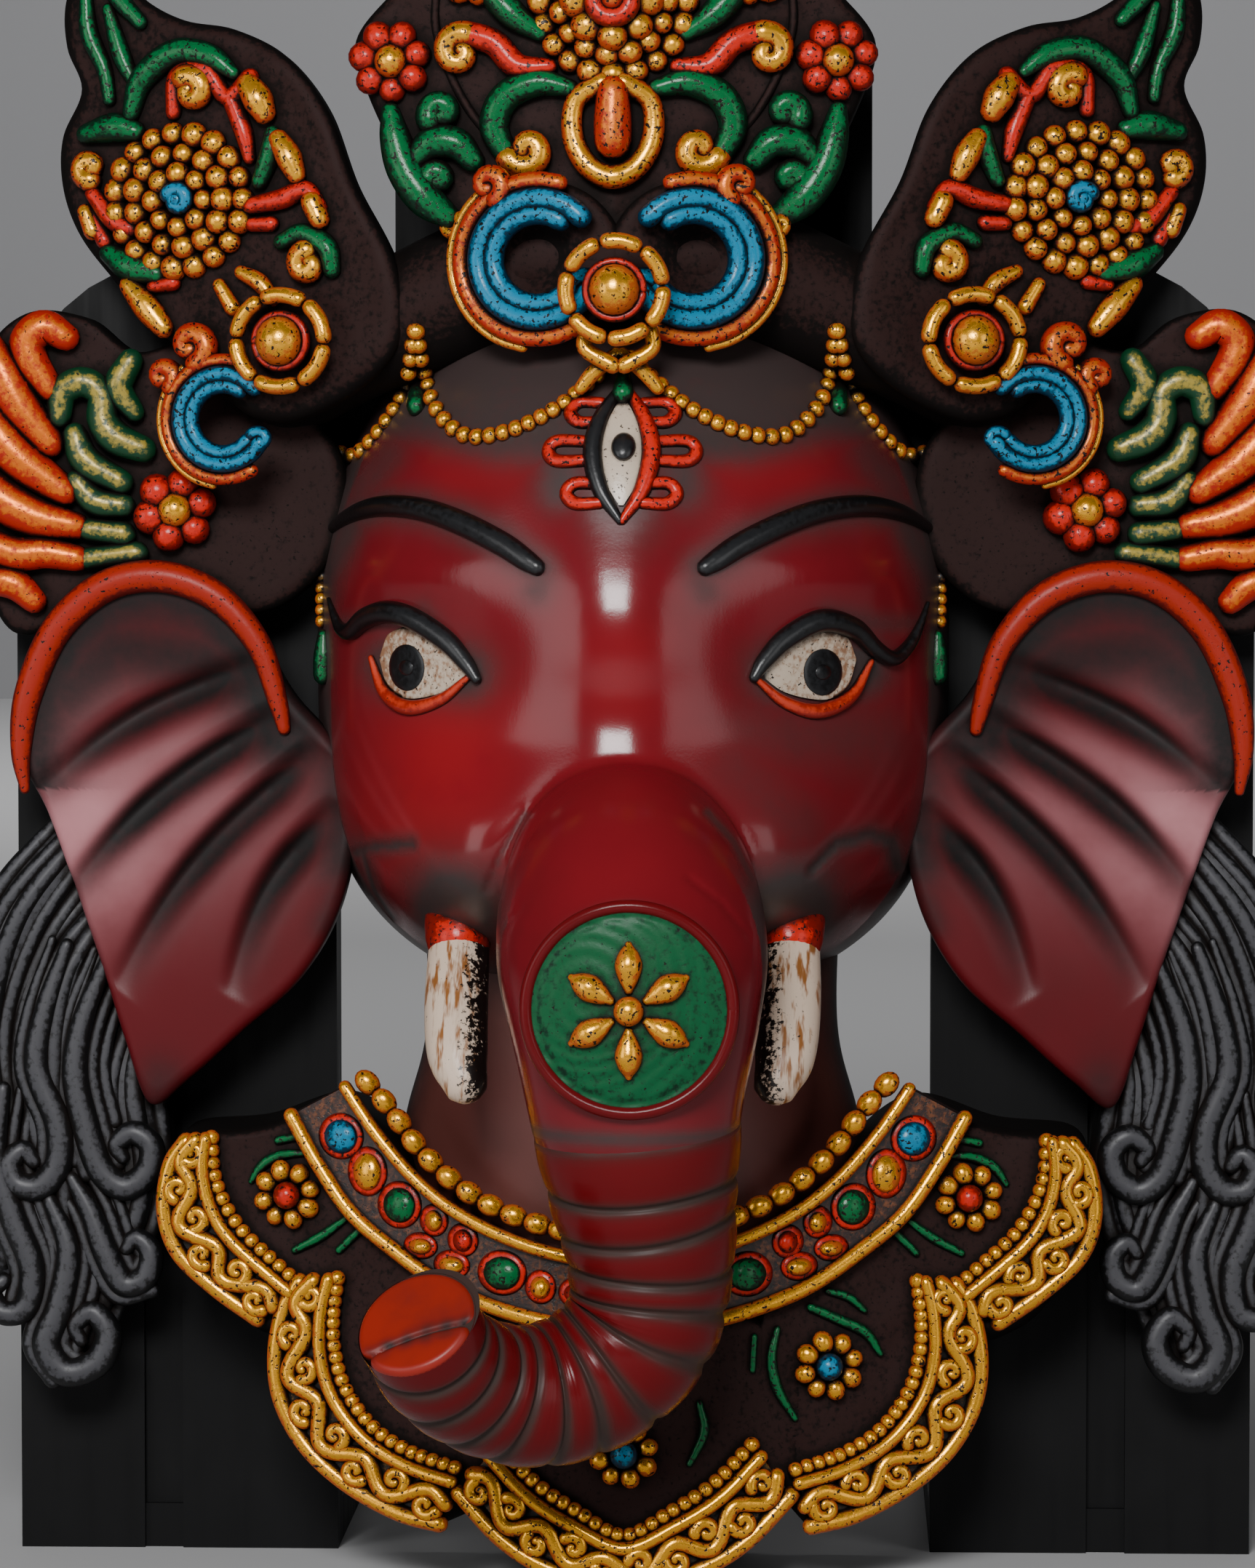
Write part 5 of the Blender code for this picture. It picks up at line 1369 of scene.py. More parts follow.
# %% Crown leaves
CROWN_LEAN = -2.0
SIDE_LEAF_CENTRE = (76.0, 247.0)
SIDE_LEAF_OUTLINE = (
    (40.0, 232.0), (47.5, 247.0), (52.5, 260.0), (60.0, 269.5), (69.5, 274.5), (79.0, 276.5),
    (87.0, 281.0), (96.5, 290.0), (101.0, 281.0), (101.0, 272.5), (98.2, 264.8), (101.8, 256.5),
    (102.0, 248.0), (99.0, 239.5), (92.5, 231.0), (82.5, 220.5), (66.0, 206.0), (52.0, 208.0),
    (40.0, 218.0),
)
CENTRE_LEAF_HALF = (
    (14.0, 231.0), (29.0, 240.5), (36.5, 249.0), (43.0, 262.0), (45.3, 271.0), (40.0, 278.5),
    (33.0, 284.0), (26.0, 297.0), (17.0, 303.0), (8.0, 307.0), (2.5, 310.2), (0.0, 311.6),
)
INNER_LEAF = (
    (9.0, 244.0, 0.7), (18.0, 251.3, 0.8), (25.0, 259.1, 0.8), (29.4, 268.0, 0.8), (31.0, 277.0, 0.8),
    (27.5, 289.0, 0.8), (18.0, 298.0, 0.8), (6.0, 303.0, 0.7),
)
LEAF_THICKNESS = 12.0
DENT_SIZE = 5.0


def crown_front(x, z):
    """The y of the middle leaf's face."""
    return -44.0 + 0.16 * np.abs(x - CROWN_LEAN)


def side_leaf_front(x, z):
    """The y of a side leaf's face, which falls back outwards as the crown wraps round."""
    return -37.0 + 0.42 * (np.abs(x) - 45.0)


def brow_front(x, z):
    """The y of the front of the crown's band."""
    return -50.0 + 0.01 * x * x


def worn(surface, depth=0.35):
    """A surface with slight uneven dents, as in a hand-carved ground."""
    def dented(x, z):
        dents = np.sin(x / DENT_SIZE + 1.3 * np.sin(z / DENT_SIZE))
        dents = dents * np.sin(z / (0.8 * DENT_SIZE) + 0.9 * np.sin(x / (0.6 * DENT_SIZE)))
        return surface(x, z) + depth * dents
    return dented


half = list(CENTRE_LEAF_HALF)
outline = [(x + CROWN_LEAN, z) for x, z in half + mirrored(reversed(half[:-1]), -1)]
middle_leaf = plate(outline, (CROWN_LEAN, 268.0), worn(crown_front), LEAF_THICKNESS, 2.4, 34)
cast(middle_leaf, "crown_middle_leaf", DARK_GROUND, 60.0)
for side, word in SIDES:
    centre = (side * SIDE_LEAF_CENTRE[0], SIDE_LEAF_CENTRE[1])
    leaf = plate(mirrored(SIDE_LEAF_OUTLINE, side), centre, worn(side_leaf_front), LEAF_THICKNESS, 3.4, 34)
    cast(leaf, "crown_side_leaf_" + word, DARK_GROUND, 60.0)
band = cords([smooth_line(BAND_LINE, 2.0)], 32)
cast(cut(band, behind()), "crown_band", DARK_GROUND, 60.0)
print("middle leaf", round(max(z for _, z in half) - half[0][1]), "mm tall")

# %% [markdown]
# The middle leaf's relief: a bead flower with a red heart, a tongue hanging from it in a gilt loop,
# green and red scrolls with gilt curls, two red flowers, and green foliage at the lower corners.

# %% Ornaments of the middle leaf
TOP_FLOWER = (0.0, 277.5)
centre = Ornament("middle_leaf", crown_front, 1.2, CROWN_LEAN)
centre.stroke("gold", [(-1.8, 263.5, 1.6), (-6.3, 260.5, 1.5), (-6.9, 254.5, 1.6), (-4.4, 249.4, 1.7),
                       (0.0, 247.2, 1.8), (4.4, 249.4, 1.7), (6.9, 254.5, 1.6), (6.3, 260.5, 1.5),
                       (1.8, 263.5, 1.6)], 1.6, (1,))
centre.stroke("orange", [(0.0, 262.0, 2.4), (0.0, 257.0, 2.7), (0.0, 253.4, 2.7)], 1.8, (1,))
centre.scroll("green", [(7.5, 262.6, 1.4), (13.0, 263.6, 2.1), (18.6, 261.2, 2.3), (20.6, 256.0, 2.2),
                        (18.0, 250.6, 1.7)], 3.4, -330.0, 2.0)
centre.scroll("red", [(11.0, 266.4, 1.2), (16.6, 266.6, 1.9), (20.6, 270.6, 2.0), (25.6, 272.2, 2.0)],
              3.3, -330.0, 1.9)
centre.stroke("green", [(12.6, 272.0, 1.2), (17.6, 275.6, 2.2), (21.6, 280.6, 2.0), (22.6, 285.0, 1.2)], 1.2)
centre.stroke("gold", volute((26.2, 280.0), 3.0, 200.0, -330.0, 1.7), 1.6)
centre.scroll("red", [(9.0, 288.0, 1.2), (12.5, 292.5, 1.9), (10.0, 297.0, 1.7)], 2.4, 300.0, 1.5)
centre.stroke("green", [(2.5, 292.0, 1.3), (2.6, 298.0, 1.8), (0.9, 303.5, 1.2)], 1.2)
centre.stroke("green", [(38.8, 259.0, 1.4), (38.0, 254.5, 2.3), (36.2, 249.0, 2.8), (32.6, 243.8, 2.8),
                        (28.6, 240.6, 1.8)], 1.4)
centre.stroke("green", [(34.6, 250.6, 1.6), (31.6, 253.4, 2.4), (27.4, 253.4, 2.4), (24.4, 250.4, 1.8)], 1.6)
centre.stroke("green", volute((29.8, 258.6), 2.5, 330.0, 300.0, 2.0), 1.5)
centre.stroke("green", volute((30.6, 247.2), 1.9, 0.0, 300.0, 1.9), 1.4)
centre.flower((38.7, 267.6), 7.2, 7, "red", "gold", 2.6, 1.2, 1.1)
for radius, count, size, lift in ((12.6, 20, 2.3, 0.8), (9.2, 15, 2.2, 1.6), (6.2, 8, 2.9, 2.6)):
    centre.ring("gold", TOP_FLOWER, radius, count, size, lift, (1,))
centre.stroke("red", ring_line(TOP_FLOWER, 3.1, 0.0, 350.0, 1.6), 4.4, (1,))
centre.ball("orange", TOP_FLOWER, 2.0, 4.6, (1,))
centre.make()
ridge = [lay([(side * x + CROWN_LEAN, z, r) for x, z, r in INNER_LEAF], crown_front, 0.2) for side in (-1, 1)]
cast(cords(ridge, 8), "inner_leaf_ridge", DARK_GROUND)

# %% [markdown]
# A side leaf has a round of gilt beads with a blue heart, and curls of red and green with gilt ends
# all round it. Its tip is edged in green. Below sit a ball flower and a blue scroll, whose open side
# faces the forehead.

# %% Ornaments of the side leaves
SIDE_ROUND = (79.4, 244.4)
SIDE_LEAF_STROKES = (
    ("green", 1.0, [(88.4, 260.0, 1.3), (86.2, 266.0, 1.9), (80.0, 270.4, 2.0), (73.6, 269.6, 1.8),
                    (69.2, 266.4, 1.0)]),
    ("gold", 1.8, volute((77.0, 263.6), 2.7, 60.0, 330.0, 1.9)),
    ("red", 0.9, [(80.4, 260.0, 1.2), (79.8, 266.4, 1.3), (74.6, 267.4, 1.5), (70.4, 262.4, 1.3),
                  (66.2, 265.6, 1.4)]),
    ("red", 0.9, [(69.8, 262.0, 1.3), (67.6, 256.6, 1.4), (66.4, 251.6, 1.0)]),
    ("gold", 1.8, [(66.4, 264.2, 1.8), (64.8, 261.8, 2.2), (63.6, 259.4, 1.7)]),
    ("green", 1.0, [(64.6, 247.4, 1.2), (62.6, 252.4, 1.6), (62.2, 255.8, 1.2)]),
    ("gold", 1.6, [(61.0, 254.6, 1.5), (59.2, 251.6, 1.9), (57.8, 248.4, 1.4)]),
    ("red", 1.0, [(66.2, 243.2, 1.3), (60.6, 244.2, 1.5), (56.2, 245.8, 1.4), (53.6, 242.6, 1.2)]),
    ("red", 0.9, [(66.0, 240.0, 1.1), (62.4, 240.0, 1.2)]),
    ("gold", 1.8, [(55.0, 243.6, 1.6), (53.6, 240.6, 1.5)]),
    ("green", 1.0, [(60.6, 236.8, 1.2), (56.6, 238.2, 1.5), (52.4, 235.8, 1.6), (51.4, 231.8, 1.3)]),
    ("gold", 1.6, volute((55.6, 232.8), 2.4, 80.0, -330.0, 1.8)),
    ("gold", 1.2, volute((96.0, 250.6), 2.2, 270.0, 330.0, 1.7)),
    ("red", 1.0, [(95.6, 246.0, 1.2), (92.0, 241.6, 1.6), (88.6, 239.6, 1.3)]),
    ("red", 0.9, [(96.2, 242.6, 1.0), (93.4, 237.6, 1.3)]),
    ("gold", 1.4, [(97.0, 242.8, 1.2), (95.6, 239.4, 1.4)]),
    ("green", 0.8, [(96.8, 256.6, 1.5), (91.4, 257.6, 2.2), (87.6, 256.8, 1.6)]),
    ("green", 0.8, [(92.6, 235.4, 1.5), (88.6, 233.0, 2.2), (83.6, 231.6, 1.5)]),
    ("gold", 1.0, [(88.8, 229.6, 1.5), (85.4, 225.6, 2.0), (82.4, 222.0, 1.5)]),
    ("red", 0.9, [(84.4, 229.4, 1.0), (80.6, 230.0, 1.2)]),
    ("green", 0.7, [(95.2, 288.6, 0.8), (91.0, 281.0, 1.4), (86.6, 276.0, 1.1)]),
    ("green", 0.7, [(96.8, 282.0, 0.9), (96.2, 274.6, 1.4), (93.4, 268.2, 1.2), (92.4, 262.6, 1.0)]),
    ("green", 0.8, [(92.6, 278.6, 0.9), (90.2, 270.6, 1.4), (87.8, 265.6, 1.0)]),
    ("orange", 2.4, volute((77.2, 218.8), 3.4, 250.0, -340.0, 1.8)),
    ("orange", 2.4, volute((82.4, 213.4), 2.4, 230.0, -330.0, 1.5)),
    ("gold", 1.2, [(68.0, 231.6, 1.0), (64.6, 229.8, 1.3), (62.2, 226.6, 1.0)]),
    ("gold", 1.2, [(72.0, 229.4, 1.0), (69.6, 225.4, 1.2)]),
)
wing = Ornament("side_leaf", side_leaf_front, 1.25)
for paint, lift, line in SIDE_LEAF_STROKES:
    wing.stroke(paint, line, lift)
for radius, count, size, lift in ((11.8, 19, 2.3, 0.9), (8.2, 13, 2.25, 1.8), (4.7, 8, 2.1, 2.6)):
    wing.ring("gold", SIDE_ROUND, radius, count, size, lift)
wing.stroke("blue", volute(SIDE_ROUND, 2.0, 30.0, 500.0, 1.3), 3.6)
wing.ball("blue", SIDE_ROUND, 1.9, 3.2)
wing.make()

# %% [markdown]
# The ball flowers are rings of short bent bars with a ball in the middle. The scrolls are two blue
# ridges side by side round a dark hollow, inside an orange rim with a thin gilt line outside it.

# %% Ball flowers and blue scrolls
def ball_flower(ornament, centre, radius, lift, bars=7, sides=(-1, 1), lean=0.0):
    """A broken ring of bent bars round a ball."""
    for i in range(bars):
        start = 360.0 * i / bars + 14.0
        bar = ring_line(centre, radius, start, start + 360.0 / bars - 19.0, 1.45)
        ornament.stroke("smooth", bar, lift, sides, lean)
    ornament.stroke("red", ring_line(centre, 0.58 * radius, 0.0, 350.0, 0.8), lift - 0.9, sides, lean)
    ornament.ball("smooth", centre, 4.4, lift - 0.4, sides, lean, 0.95)


def blue_scroll(ornament, centre, size, opening, lift, lean=0.0):
    """Two blue ridges, an orange rim and a gilt line round a hollow, on both sides."""
    start = opening + 42.0
    inner = 0.74 * size
    ridge_end = ring_line(centre, inner, start + 30.0, start - 4.0, 0.17 * size)
    for paint, line, rise in (
        ("blue", ring_line(centre, size, start, start + 285.0, 0.19 * size), 0.4),
        ("blue", ring_line(centre, inner, start + 8.0, start + 270.0, 0.18 * size), 0.0),
        ("blue", curl_after(ridge_end, 0.26 * size, 200.0, 0.15 * size), 0.3),
        ("orange", ring_line(centre, 1.30 * size, opening + 70.0, opening + 296.0, 0.15 * size), -0.3),
        ("smooth", ring_line(centre, 1.47 * size, opening + 110.0, opening + 240.0, 0.09 * size), -1.0),
    ):
        ornament.stroke(paint, line, lift + rise, lean=lean)


def hollow_floor(x, z):
    """The ground behind the middle scrolls, dished around each scroll's middle."""
    away = np.hypot(np.abs(x + 1.4) - 13.4, z - 233.0)
    return brow_front(x, z) + 1.0 + 5.0 * fade(away, 6.0)


grounds = []
for side in (-1, 1):
    x, z = side * 12.4 - 1.4, 232.6
    disc = [(x + 14.0 * math.cos(a), z + 14.0 * math.sin(a)) for a in round_turns(23)]
    grounds.append(plate(disc, (x, z), hollow_floor, 12.0, 2.0, 16))
cast(joined(grounds), "scroll_grounds", DARK_GROUND, 60.0)
front = Ornament("crown_front", brow_front)
ball_flower(front, (0.0, 227.4), 8.3, 10.5, 7, (1,), -1.2)
blue_scroll(front, (13.4, 233.0), 10.4, 170.0, 1.8, -1.4)
front.stroke("orange", volute((21.6, 245.8), 2.9, 240.0, -330.0, 1.9), 2.2, lean=-1.8)
front.stroke("smooth", volute((28.4, 239.4), 2.0, 150.0, 330.0, 1.3), 0.2, lean=-1.8)
front.stroke("smooth", [(5.6, 220.4, 1.3), (5.6, 217.4, 1.4), (1.0, 214.6, 1.5)], 6.5, lean=-0.6)
front.stroke("smooth", [(0.6, 216.6, 1.2), (4.4, 213.4, 1.4), (6.6, 210.8, 1.2)], 4.0, lean=-0.6)
front.make()
low_wing = Ornament("side_scroll", side_leaf_front)
ball_flower(low_wing, (60.6, 219.4), 8.0, 4.6, 6)
blue_scroll(low_wing, (71.2, 205.8), 8.0, 170.0, 3.4)
low_wing.make()
print("flowers and scrolls made")

# %% [markdown]
# The neck is an upright tube, wider at the bottom, and the collar is five overlapping lobes, each a
# plate whose foot spreads a little downwards, with dark ground and a gilt border. The chest behind
# them is hollow.

# %% Neck and lobes
NECK_LINE = ((-4.0, 128.0, 38.0), (-6.0, 98.0, 37.0), (-6.0, 80.0, 41.0), (-4.0, 58.0, 44.0))
NECK_DEPTH = 0.86
CHEST_CENTRE = (0.0, 0.0, 56.0)
CHEST_RADII = (54.0, 32.0, 42.0)
LOBE_DRAFT = 6.0
CENTRE_LOBE = ((0.0, 0.6), (13.0, 4.0), (21.0, 9.0), (29.0, 16.5), (31.0, 27.0), (28.0, 45.0), (0.0, 56.0))
SIDE_LOBE = (
    (31.5, 12.5), (40.4, 12.6), (50.2, 17.2), (57.8, 23.6), (62.6, 31.6), (63.6, 40.0), (62.0, 49.0),
    (57.0, 56.0), (44.0, 62.0), (26.0, 56.0), (23.0, 38.0), (27.5, 23.5),
)
SHOULDER = (
    (60.0, 45.5), (68.0, 46.4), (74.4, 51.4), (81.2, 57.6), (83.8, 65.4), (82.6, 73.6), (79.0, 78.6),
    (66.0, 80.0), (50.0, 84.0), (38.0, 72.0), (45.0, 56.0),
)


def chest_front(x, z):
    """The y of the collar's surface, fullest in the middle."""
    return -(26.0 + 20.0 * fade(x, 50.0) - 3.0 * (z - 40.0) / 50.0)


def lobe(outline, centre):
    """One lobe: a plate whose wall slopes outwards at the foot, hollowed and cut at the table."""
    line = smooth_line([(*p, 0.0) for p in outline], 1.0, closed=True)[:-1, :2]
    away = line - np.array(centre)
    far = np.linalg.norm(away, axis=1)
    foot = line + away / far[:, None] * (LOBE_DRAFT * np.maximum(0.0, -away[:, 1] / far))[:, None]
    size = far.mean()
    rings = []
    for share in (0.5, 1.0):
        x, z = (np.array(centre) + (foot - centre) * share).T
        rings.append(np.column_stack([x, 0.0 * x, z]))
    front = chest_front(*line.T) + 1.0
    for share in (0.33, 0.66, 1.0):
        x, z = (foot + (line - foot) * share).T
        rings.append(np.column_stack([x, front * share, z]))
    for share in np.linspace(1.0 - 1.0 / size, 0.03, 26):
        x, z = (np.array(centre) + away * share).T
        rings.append(np.column_stack([x, worn(chest_front, 0.25)(x, z), z]))
    below = block((-200, -200, -200), (200, 200, 0))
    return cut(skin(rings), behind(), below, shell_hollow(CHEST_CENTRE, CHEST_RADII))


lobes = [lobe(list(CENTRE_LOBE) + mirrored(reversed(CENTRE_LOBE[1:-1]), -1), (0.0, 30.0))]
for side in (-1, 1):
    lobes.append(lobe(mirrored(SIDE_LOBE, side), (side * 42.0, 37.0)))
    lobes.append(lobe(mirrored(SHOULDER, side), (side * 61.0, 64.0)))
cast(joined(lobes), "collar_lobes", DARK_GROUND, 60.0)
turns = round_turns(96)
neck = skin([np.column_stack([r * np.cos(turns), y + NECK_DEPTH * r * np.sin(turns), 0 * turns + z])
             for y, z, r in smooth_line(NECK_LINE, 1.5)])
neck = cut(neck, behind(), shell_hollow(CHEST_CENTRE, CHEST_RADII), shell_hollow(HEAD_CENTRE, HEAD_RADII))
x, y, z = read(neck).T
# Painted shade: the neck darkens towards the jaw above it and towards the back, where the head and the collar
# shade it.
attribute(neck, "shade", np.clip(np.maximum((z - 98.0) / 14.0, (y + 24.0) / 14.0), 0.15, 1.0))
attribute(neck, "pale_paint_and_painted_light", 0.6 * fade(np.abs(x) - 22.0, 9.0, z - 84.0, 12.0))
cast(neck, "neck", NECK_RED, 80.0)
print("collar of", len(lobes), "lobes")

# %% [markdown]
# Each border is a gilt band between an outer and an inner line. Across it come a ridge, a running
# scroll with curls in its bends, a second ridge, and a row of beads. All of them are lines at a
# share of the way from the outer line to the inner one.

# %% Gilt borders
BORDERS = {
    "centre": (
        ((-29.5, 17.5), (-21.5, 9.6), (-13.0, 5.0), (0.0, 1.8), (13.0, 5.0), (21.5, 9.6), (29.5, 17.5)),
        ((-21.7, 27.7), (-15.5, 21.5), (-8.0, 16.6), (0.0, 12.4), (8.0, 16.6), (15.5, 21.5), (21.7, 27.7)),
    ),
    "side": (
        ((32.8, 11.8), (40.6, 13.4), (50.0, 18.0), (57.3, 24.2), (61.8, 32.0), (62.9, 40.0), (61.4, 48.5),
         (58.4, 53.5)),
        ((29.6, 23.0), (37.8, 25.4), (44.2, 29.2), (49.0, 35.6), (51.0, 42.5), (51.2, 48.5), (50.6, 54.5)),
    ),
    "shoulder": (
        ((66.0, 46.4), (73.8, 51.6), (80.6, 57.9), (83.0, 65.4), (81.8, 73.4), (78.8, 77.8)),
        ((57.6, 53.6), (61.6, 57.0), (67.2, 62.0), (70.8, 67.0), (73.0, 72.6), (73.6, 78.6)),
    ),
}
SCROLL_PERIOD = 13.0
RIDGES = ((0.06, 1.65, 1.5), (0.74, 1.35, 2.2))
VINE_SHARE = 0.39
VINE_SWAY = 0.15
BORDER_BEAD = (1.45, 1.3, 1.45)
BORDER_BEAD_STEP = 2.6


def band_points(pair, side, share, spacing=0.5):
    """Points of x, z at a share of the way across a border."""
    lines = [smooth_line([(side * x, z, 0.0) for x, z in line], 0.25)[:, :2] for line in pair]
    count = int(max(len(line) for line in lines) * 0.25 / spacing)
    picked = [even_picks(line, count) for line in lines]
    shares = np.asarray(share(np.linspace(0.0, 1.0, count)) if callable(share) else share)
    shares = np.broadcast_to(shares, count)[:, None]
    return picked[0] * (1.0 - shares) + picked[1] * shares


def laid_points(points, radius, lift):
    """Points of x, z as a cord's line on the collar."""
    x, z = points.T
    return np.column_stack([x, chest_front(x, z) - lift, z, np.full(len(x), radius)])


def border(pair, side):
    """The cords and bead places of one border."""
    middle = band_points(pair, side, 0.5)
    length = float(np.linalg.norm(np.diff(middle, axis=0), axis=1).sum())
    waves = max(2, round(length / SCROLL_PERIOD))
    lines = [laid_points(band_points(pair, side, share), radius, lift) for share, radius, lift in RIDGES]
    vine = band_points(pair, side, lambda t: VINE_SHARE + VINE_SWAY * np.sin(2 * math.pi * waves * t))
    lines.append(laid_points(vine, 1.6, 2.0))
    for i in range(2 * waves):
        t = (i + 0.5) / (2 * waves)
        up = 1.0 if i % 2 == 0 else -1.0
        spot = band_points(pair, side, VINE_SHARE - 0.09 * up)
        at = min(len(spot) - 2, int(t * len(spot)))
        ahead = spot[at + 1] - spot[at]
        heading = math.degrees(math.atan2(ahead[1], ahead[0]))
        spiral = volute(spot[at], 2.1, heading + 160.0, 330.0 * up * side, 1.35)
        lines.append(lay(spiral, chest_front, 2.2, 0.4))
    row = laid_points(band_points(pair, side, 0.94, BORDER_BEAD_STEP), 1.0, 1.5)
    return lines, [(point[:3], BORDER_BEAD, 0.0) for point in row]


border_lines = []
border_beads = []
strips = []
for name, pair in BORDERS.items():
    for side in ((1,) if name == "centre" else (-1, 1)):
        lines, places = border(pair, side)
        border_lines += lines
        border_beads += places
        strips.append(between(*pair, lambda x, z: chest_front(x, z) - 1.2, side, 0.8, 12, 2.4))
cast(joined([cords(border_lines, 8), copies(BALL, border_beads)]), "collar_border_relief", GILT_SMOOTH)
cast(joined(strips), "collar_border_bands", GILT, 60.0)
print(len(border_beads), "beads along the borders")

# %% [markdown]
# The necklace is a raised band between two gilt ridges, with oblong beads inside it at the neck, and
# set stones: blue, gold, green and red. Flowers and short green strokes fill the lobes.

# %% Necklace, flowers and strokes
NECK_INNER = ((49.6, 88.4), (44.2, 80.7), (37.0, 72.8), (29.0, 67.0), (18.8, 62.6), (9.0, 60.2), (0.0, 59.5))
NECK_OUTER = (
    (59.4, 83.0), (54.5, 74.6), (48.5, 66.3), (41.0, 60.3), (32.0, 54.5), (22.0, 50.8), (12.0, 48.6),
    (0.0, 47.5),
)
BEAD_ROW = ((45.6, 89.2), (41.6, 84.9), (36.5, 78.3), (30.0, 72.5), (22.4, 68.2), (12.0, 65.0), (0.0, 63.6))
STONES = (
    ("blue", (50.4, 79.6), 3.2, 3.2), ("gold", (45.6, 73.6), 2.7, 3.5), ("green", (39.8, 68.0), 3.1, 3.3),
    ("gold", (33.6, 65.6), 1.7, 2.0), ("gold", (36.0, 61.0), 2.2, 1.5), ("red", (28.4, 62.4), 1.9, 2.1),
    ("gold", (30.4, 58.0), 2.4, 1.7), ("green", (21.4, 57.0), 3.5, 3.1), ("gold", (14.6, 54.8), 1.9, 2.1),
    ("red", (8.6, 54.0), 2.0, 1.7),
)
LEAF_STROKES = (
    ((56.4, 76.2, 0.5), (61.0, 75.8, 0.95), (64.6, 74.0, 1.0), (66.8, 71.0, 0.6)),
    ((57.6, 79.3, 0.8), (62.0, 78.3, 0.8)),
    ((49.7, 64.9, 0.6), (53.9, 61.8, 0.9), (58.9, 59.0, 0.7)),
    ((47.3, 62.9, 0.8), (50.9, 59.3, 0.7)),
    ((32.4, 50.5, 0.8), (37.2, 48.2, 1.0), (42.0, 45.7, 1.0), (44.6, 41.9, 0.6)),
    ((35.4, 53.2, 0.6), (39.0, 52.0, 0.8), (41.8, 49.6, 0.6)),
    ((26.6, 47.0, 0.6), (25.6, 42.0, 0.95), (26.6, 36.7, 1.0), (29.7, 31.2, 0.6)),
    ((22.6, 45.8, 0.6), (22.3, 40.0, 0.6)),
    ((13.1, 34.5, 0.6), (13.9, 29.5, 0.9), (11.4, 24.0, 0.6)),
)
NECKLACE_RISE = 2.2


def raised_chest(x, z):
    """The necklace band's face."""
    return chest_front(x, z) - NECKLACE_RISE


def whole(half):
    """A line over both sides from its right half, which ends in the middle."""
    return list(half) + mirrored(reversed(half[:-1]), -1)


collar = Ornament("collar", chest_front)
collar.lines["smooth"] = [lay(even(whole(NECK_INNER), 1.2), chest_front, 3.4),
                          lay(even(whole(NECK_OUTER), 1.4), chest_front, 2.8)]
row = lay(even(whole(BEAD_ROW), 1.0), chest_front, 2.6, 4.4)
slopes = np.gradient(row[:, :3], axis=0)
collar.balls["smooth"] = [(p[:3], (2.6, 1.8, 2.0), math.degrees(math.atan2(s[2], s[0])))
                          for p, s in zip(row, slopes)]
for centre_of, heart in (((0.0, 26.0), "blue"), ((35.6, 40.2), "blue"), ((60.2, 68.8), "red")):
    sides = (1,) if centre_of[0] == 0.0 else (-1, 1)
    collar.flower(centre_of, 6.0, 8, "smooth", heart, 1.75, 1.2, 1.15, sides)
for line in LEAF_STROKES:
    collar.stroke("green", line, 0.5)
settings = []
gems = {"blue": [], "gold": [], "green": [], "red": []}
for paint, (x, z), wide, tall in STONES:
    for side in (-1, 1):
        settings.append(oval((side * x, z), wide + 0.9, tall + 0.9, raised_chest, 0.9))
        gems[paint].append(oval((side * x, z), wide, tall, raised_chest, 2.2))
collar.make()
for paint, stones in gems.items():
    cast(joined(stones), "necklace_stones_" + paint, PAINTS["smooth" if paint == "gold" else paint], 60.0)
cast(joined(settings), "necklace_settings", RED_ENAMEL, 60.0)
band_face = between(whole(NECK_OUTER), whole(NECK_INNER), raised_chest, 1, 0.8, 14, 5.0)
NECKLACE_GROUND = rubbed("necklace_ground", (38, 15, 11), (112, 60, 24), 1.16, 0.58)
cast(band_face, "necklace_band", NECKLACE_GROUND, 60.0)
print(len(STONES), "stones a side")

# %% [markdown]
# The hair hangs behind the ears in long black locks, dry-brushed with grey along every strand. A lock
# is a dark core with strands laid over its rounded front, and some strands end in a round curl.

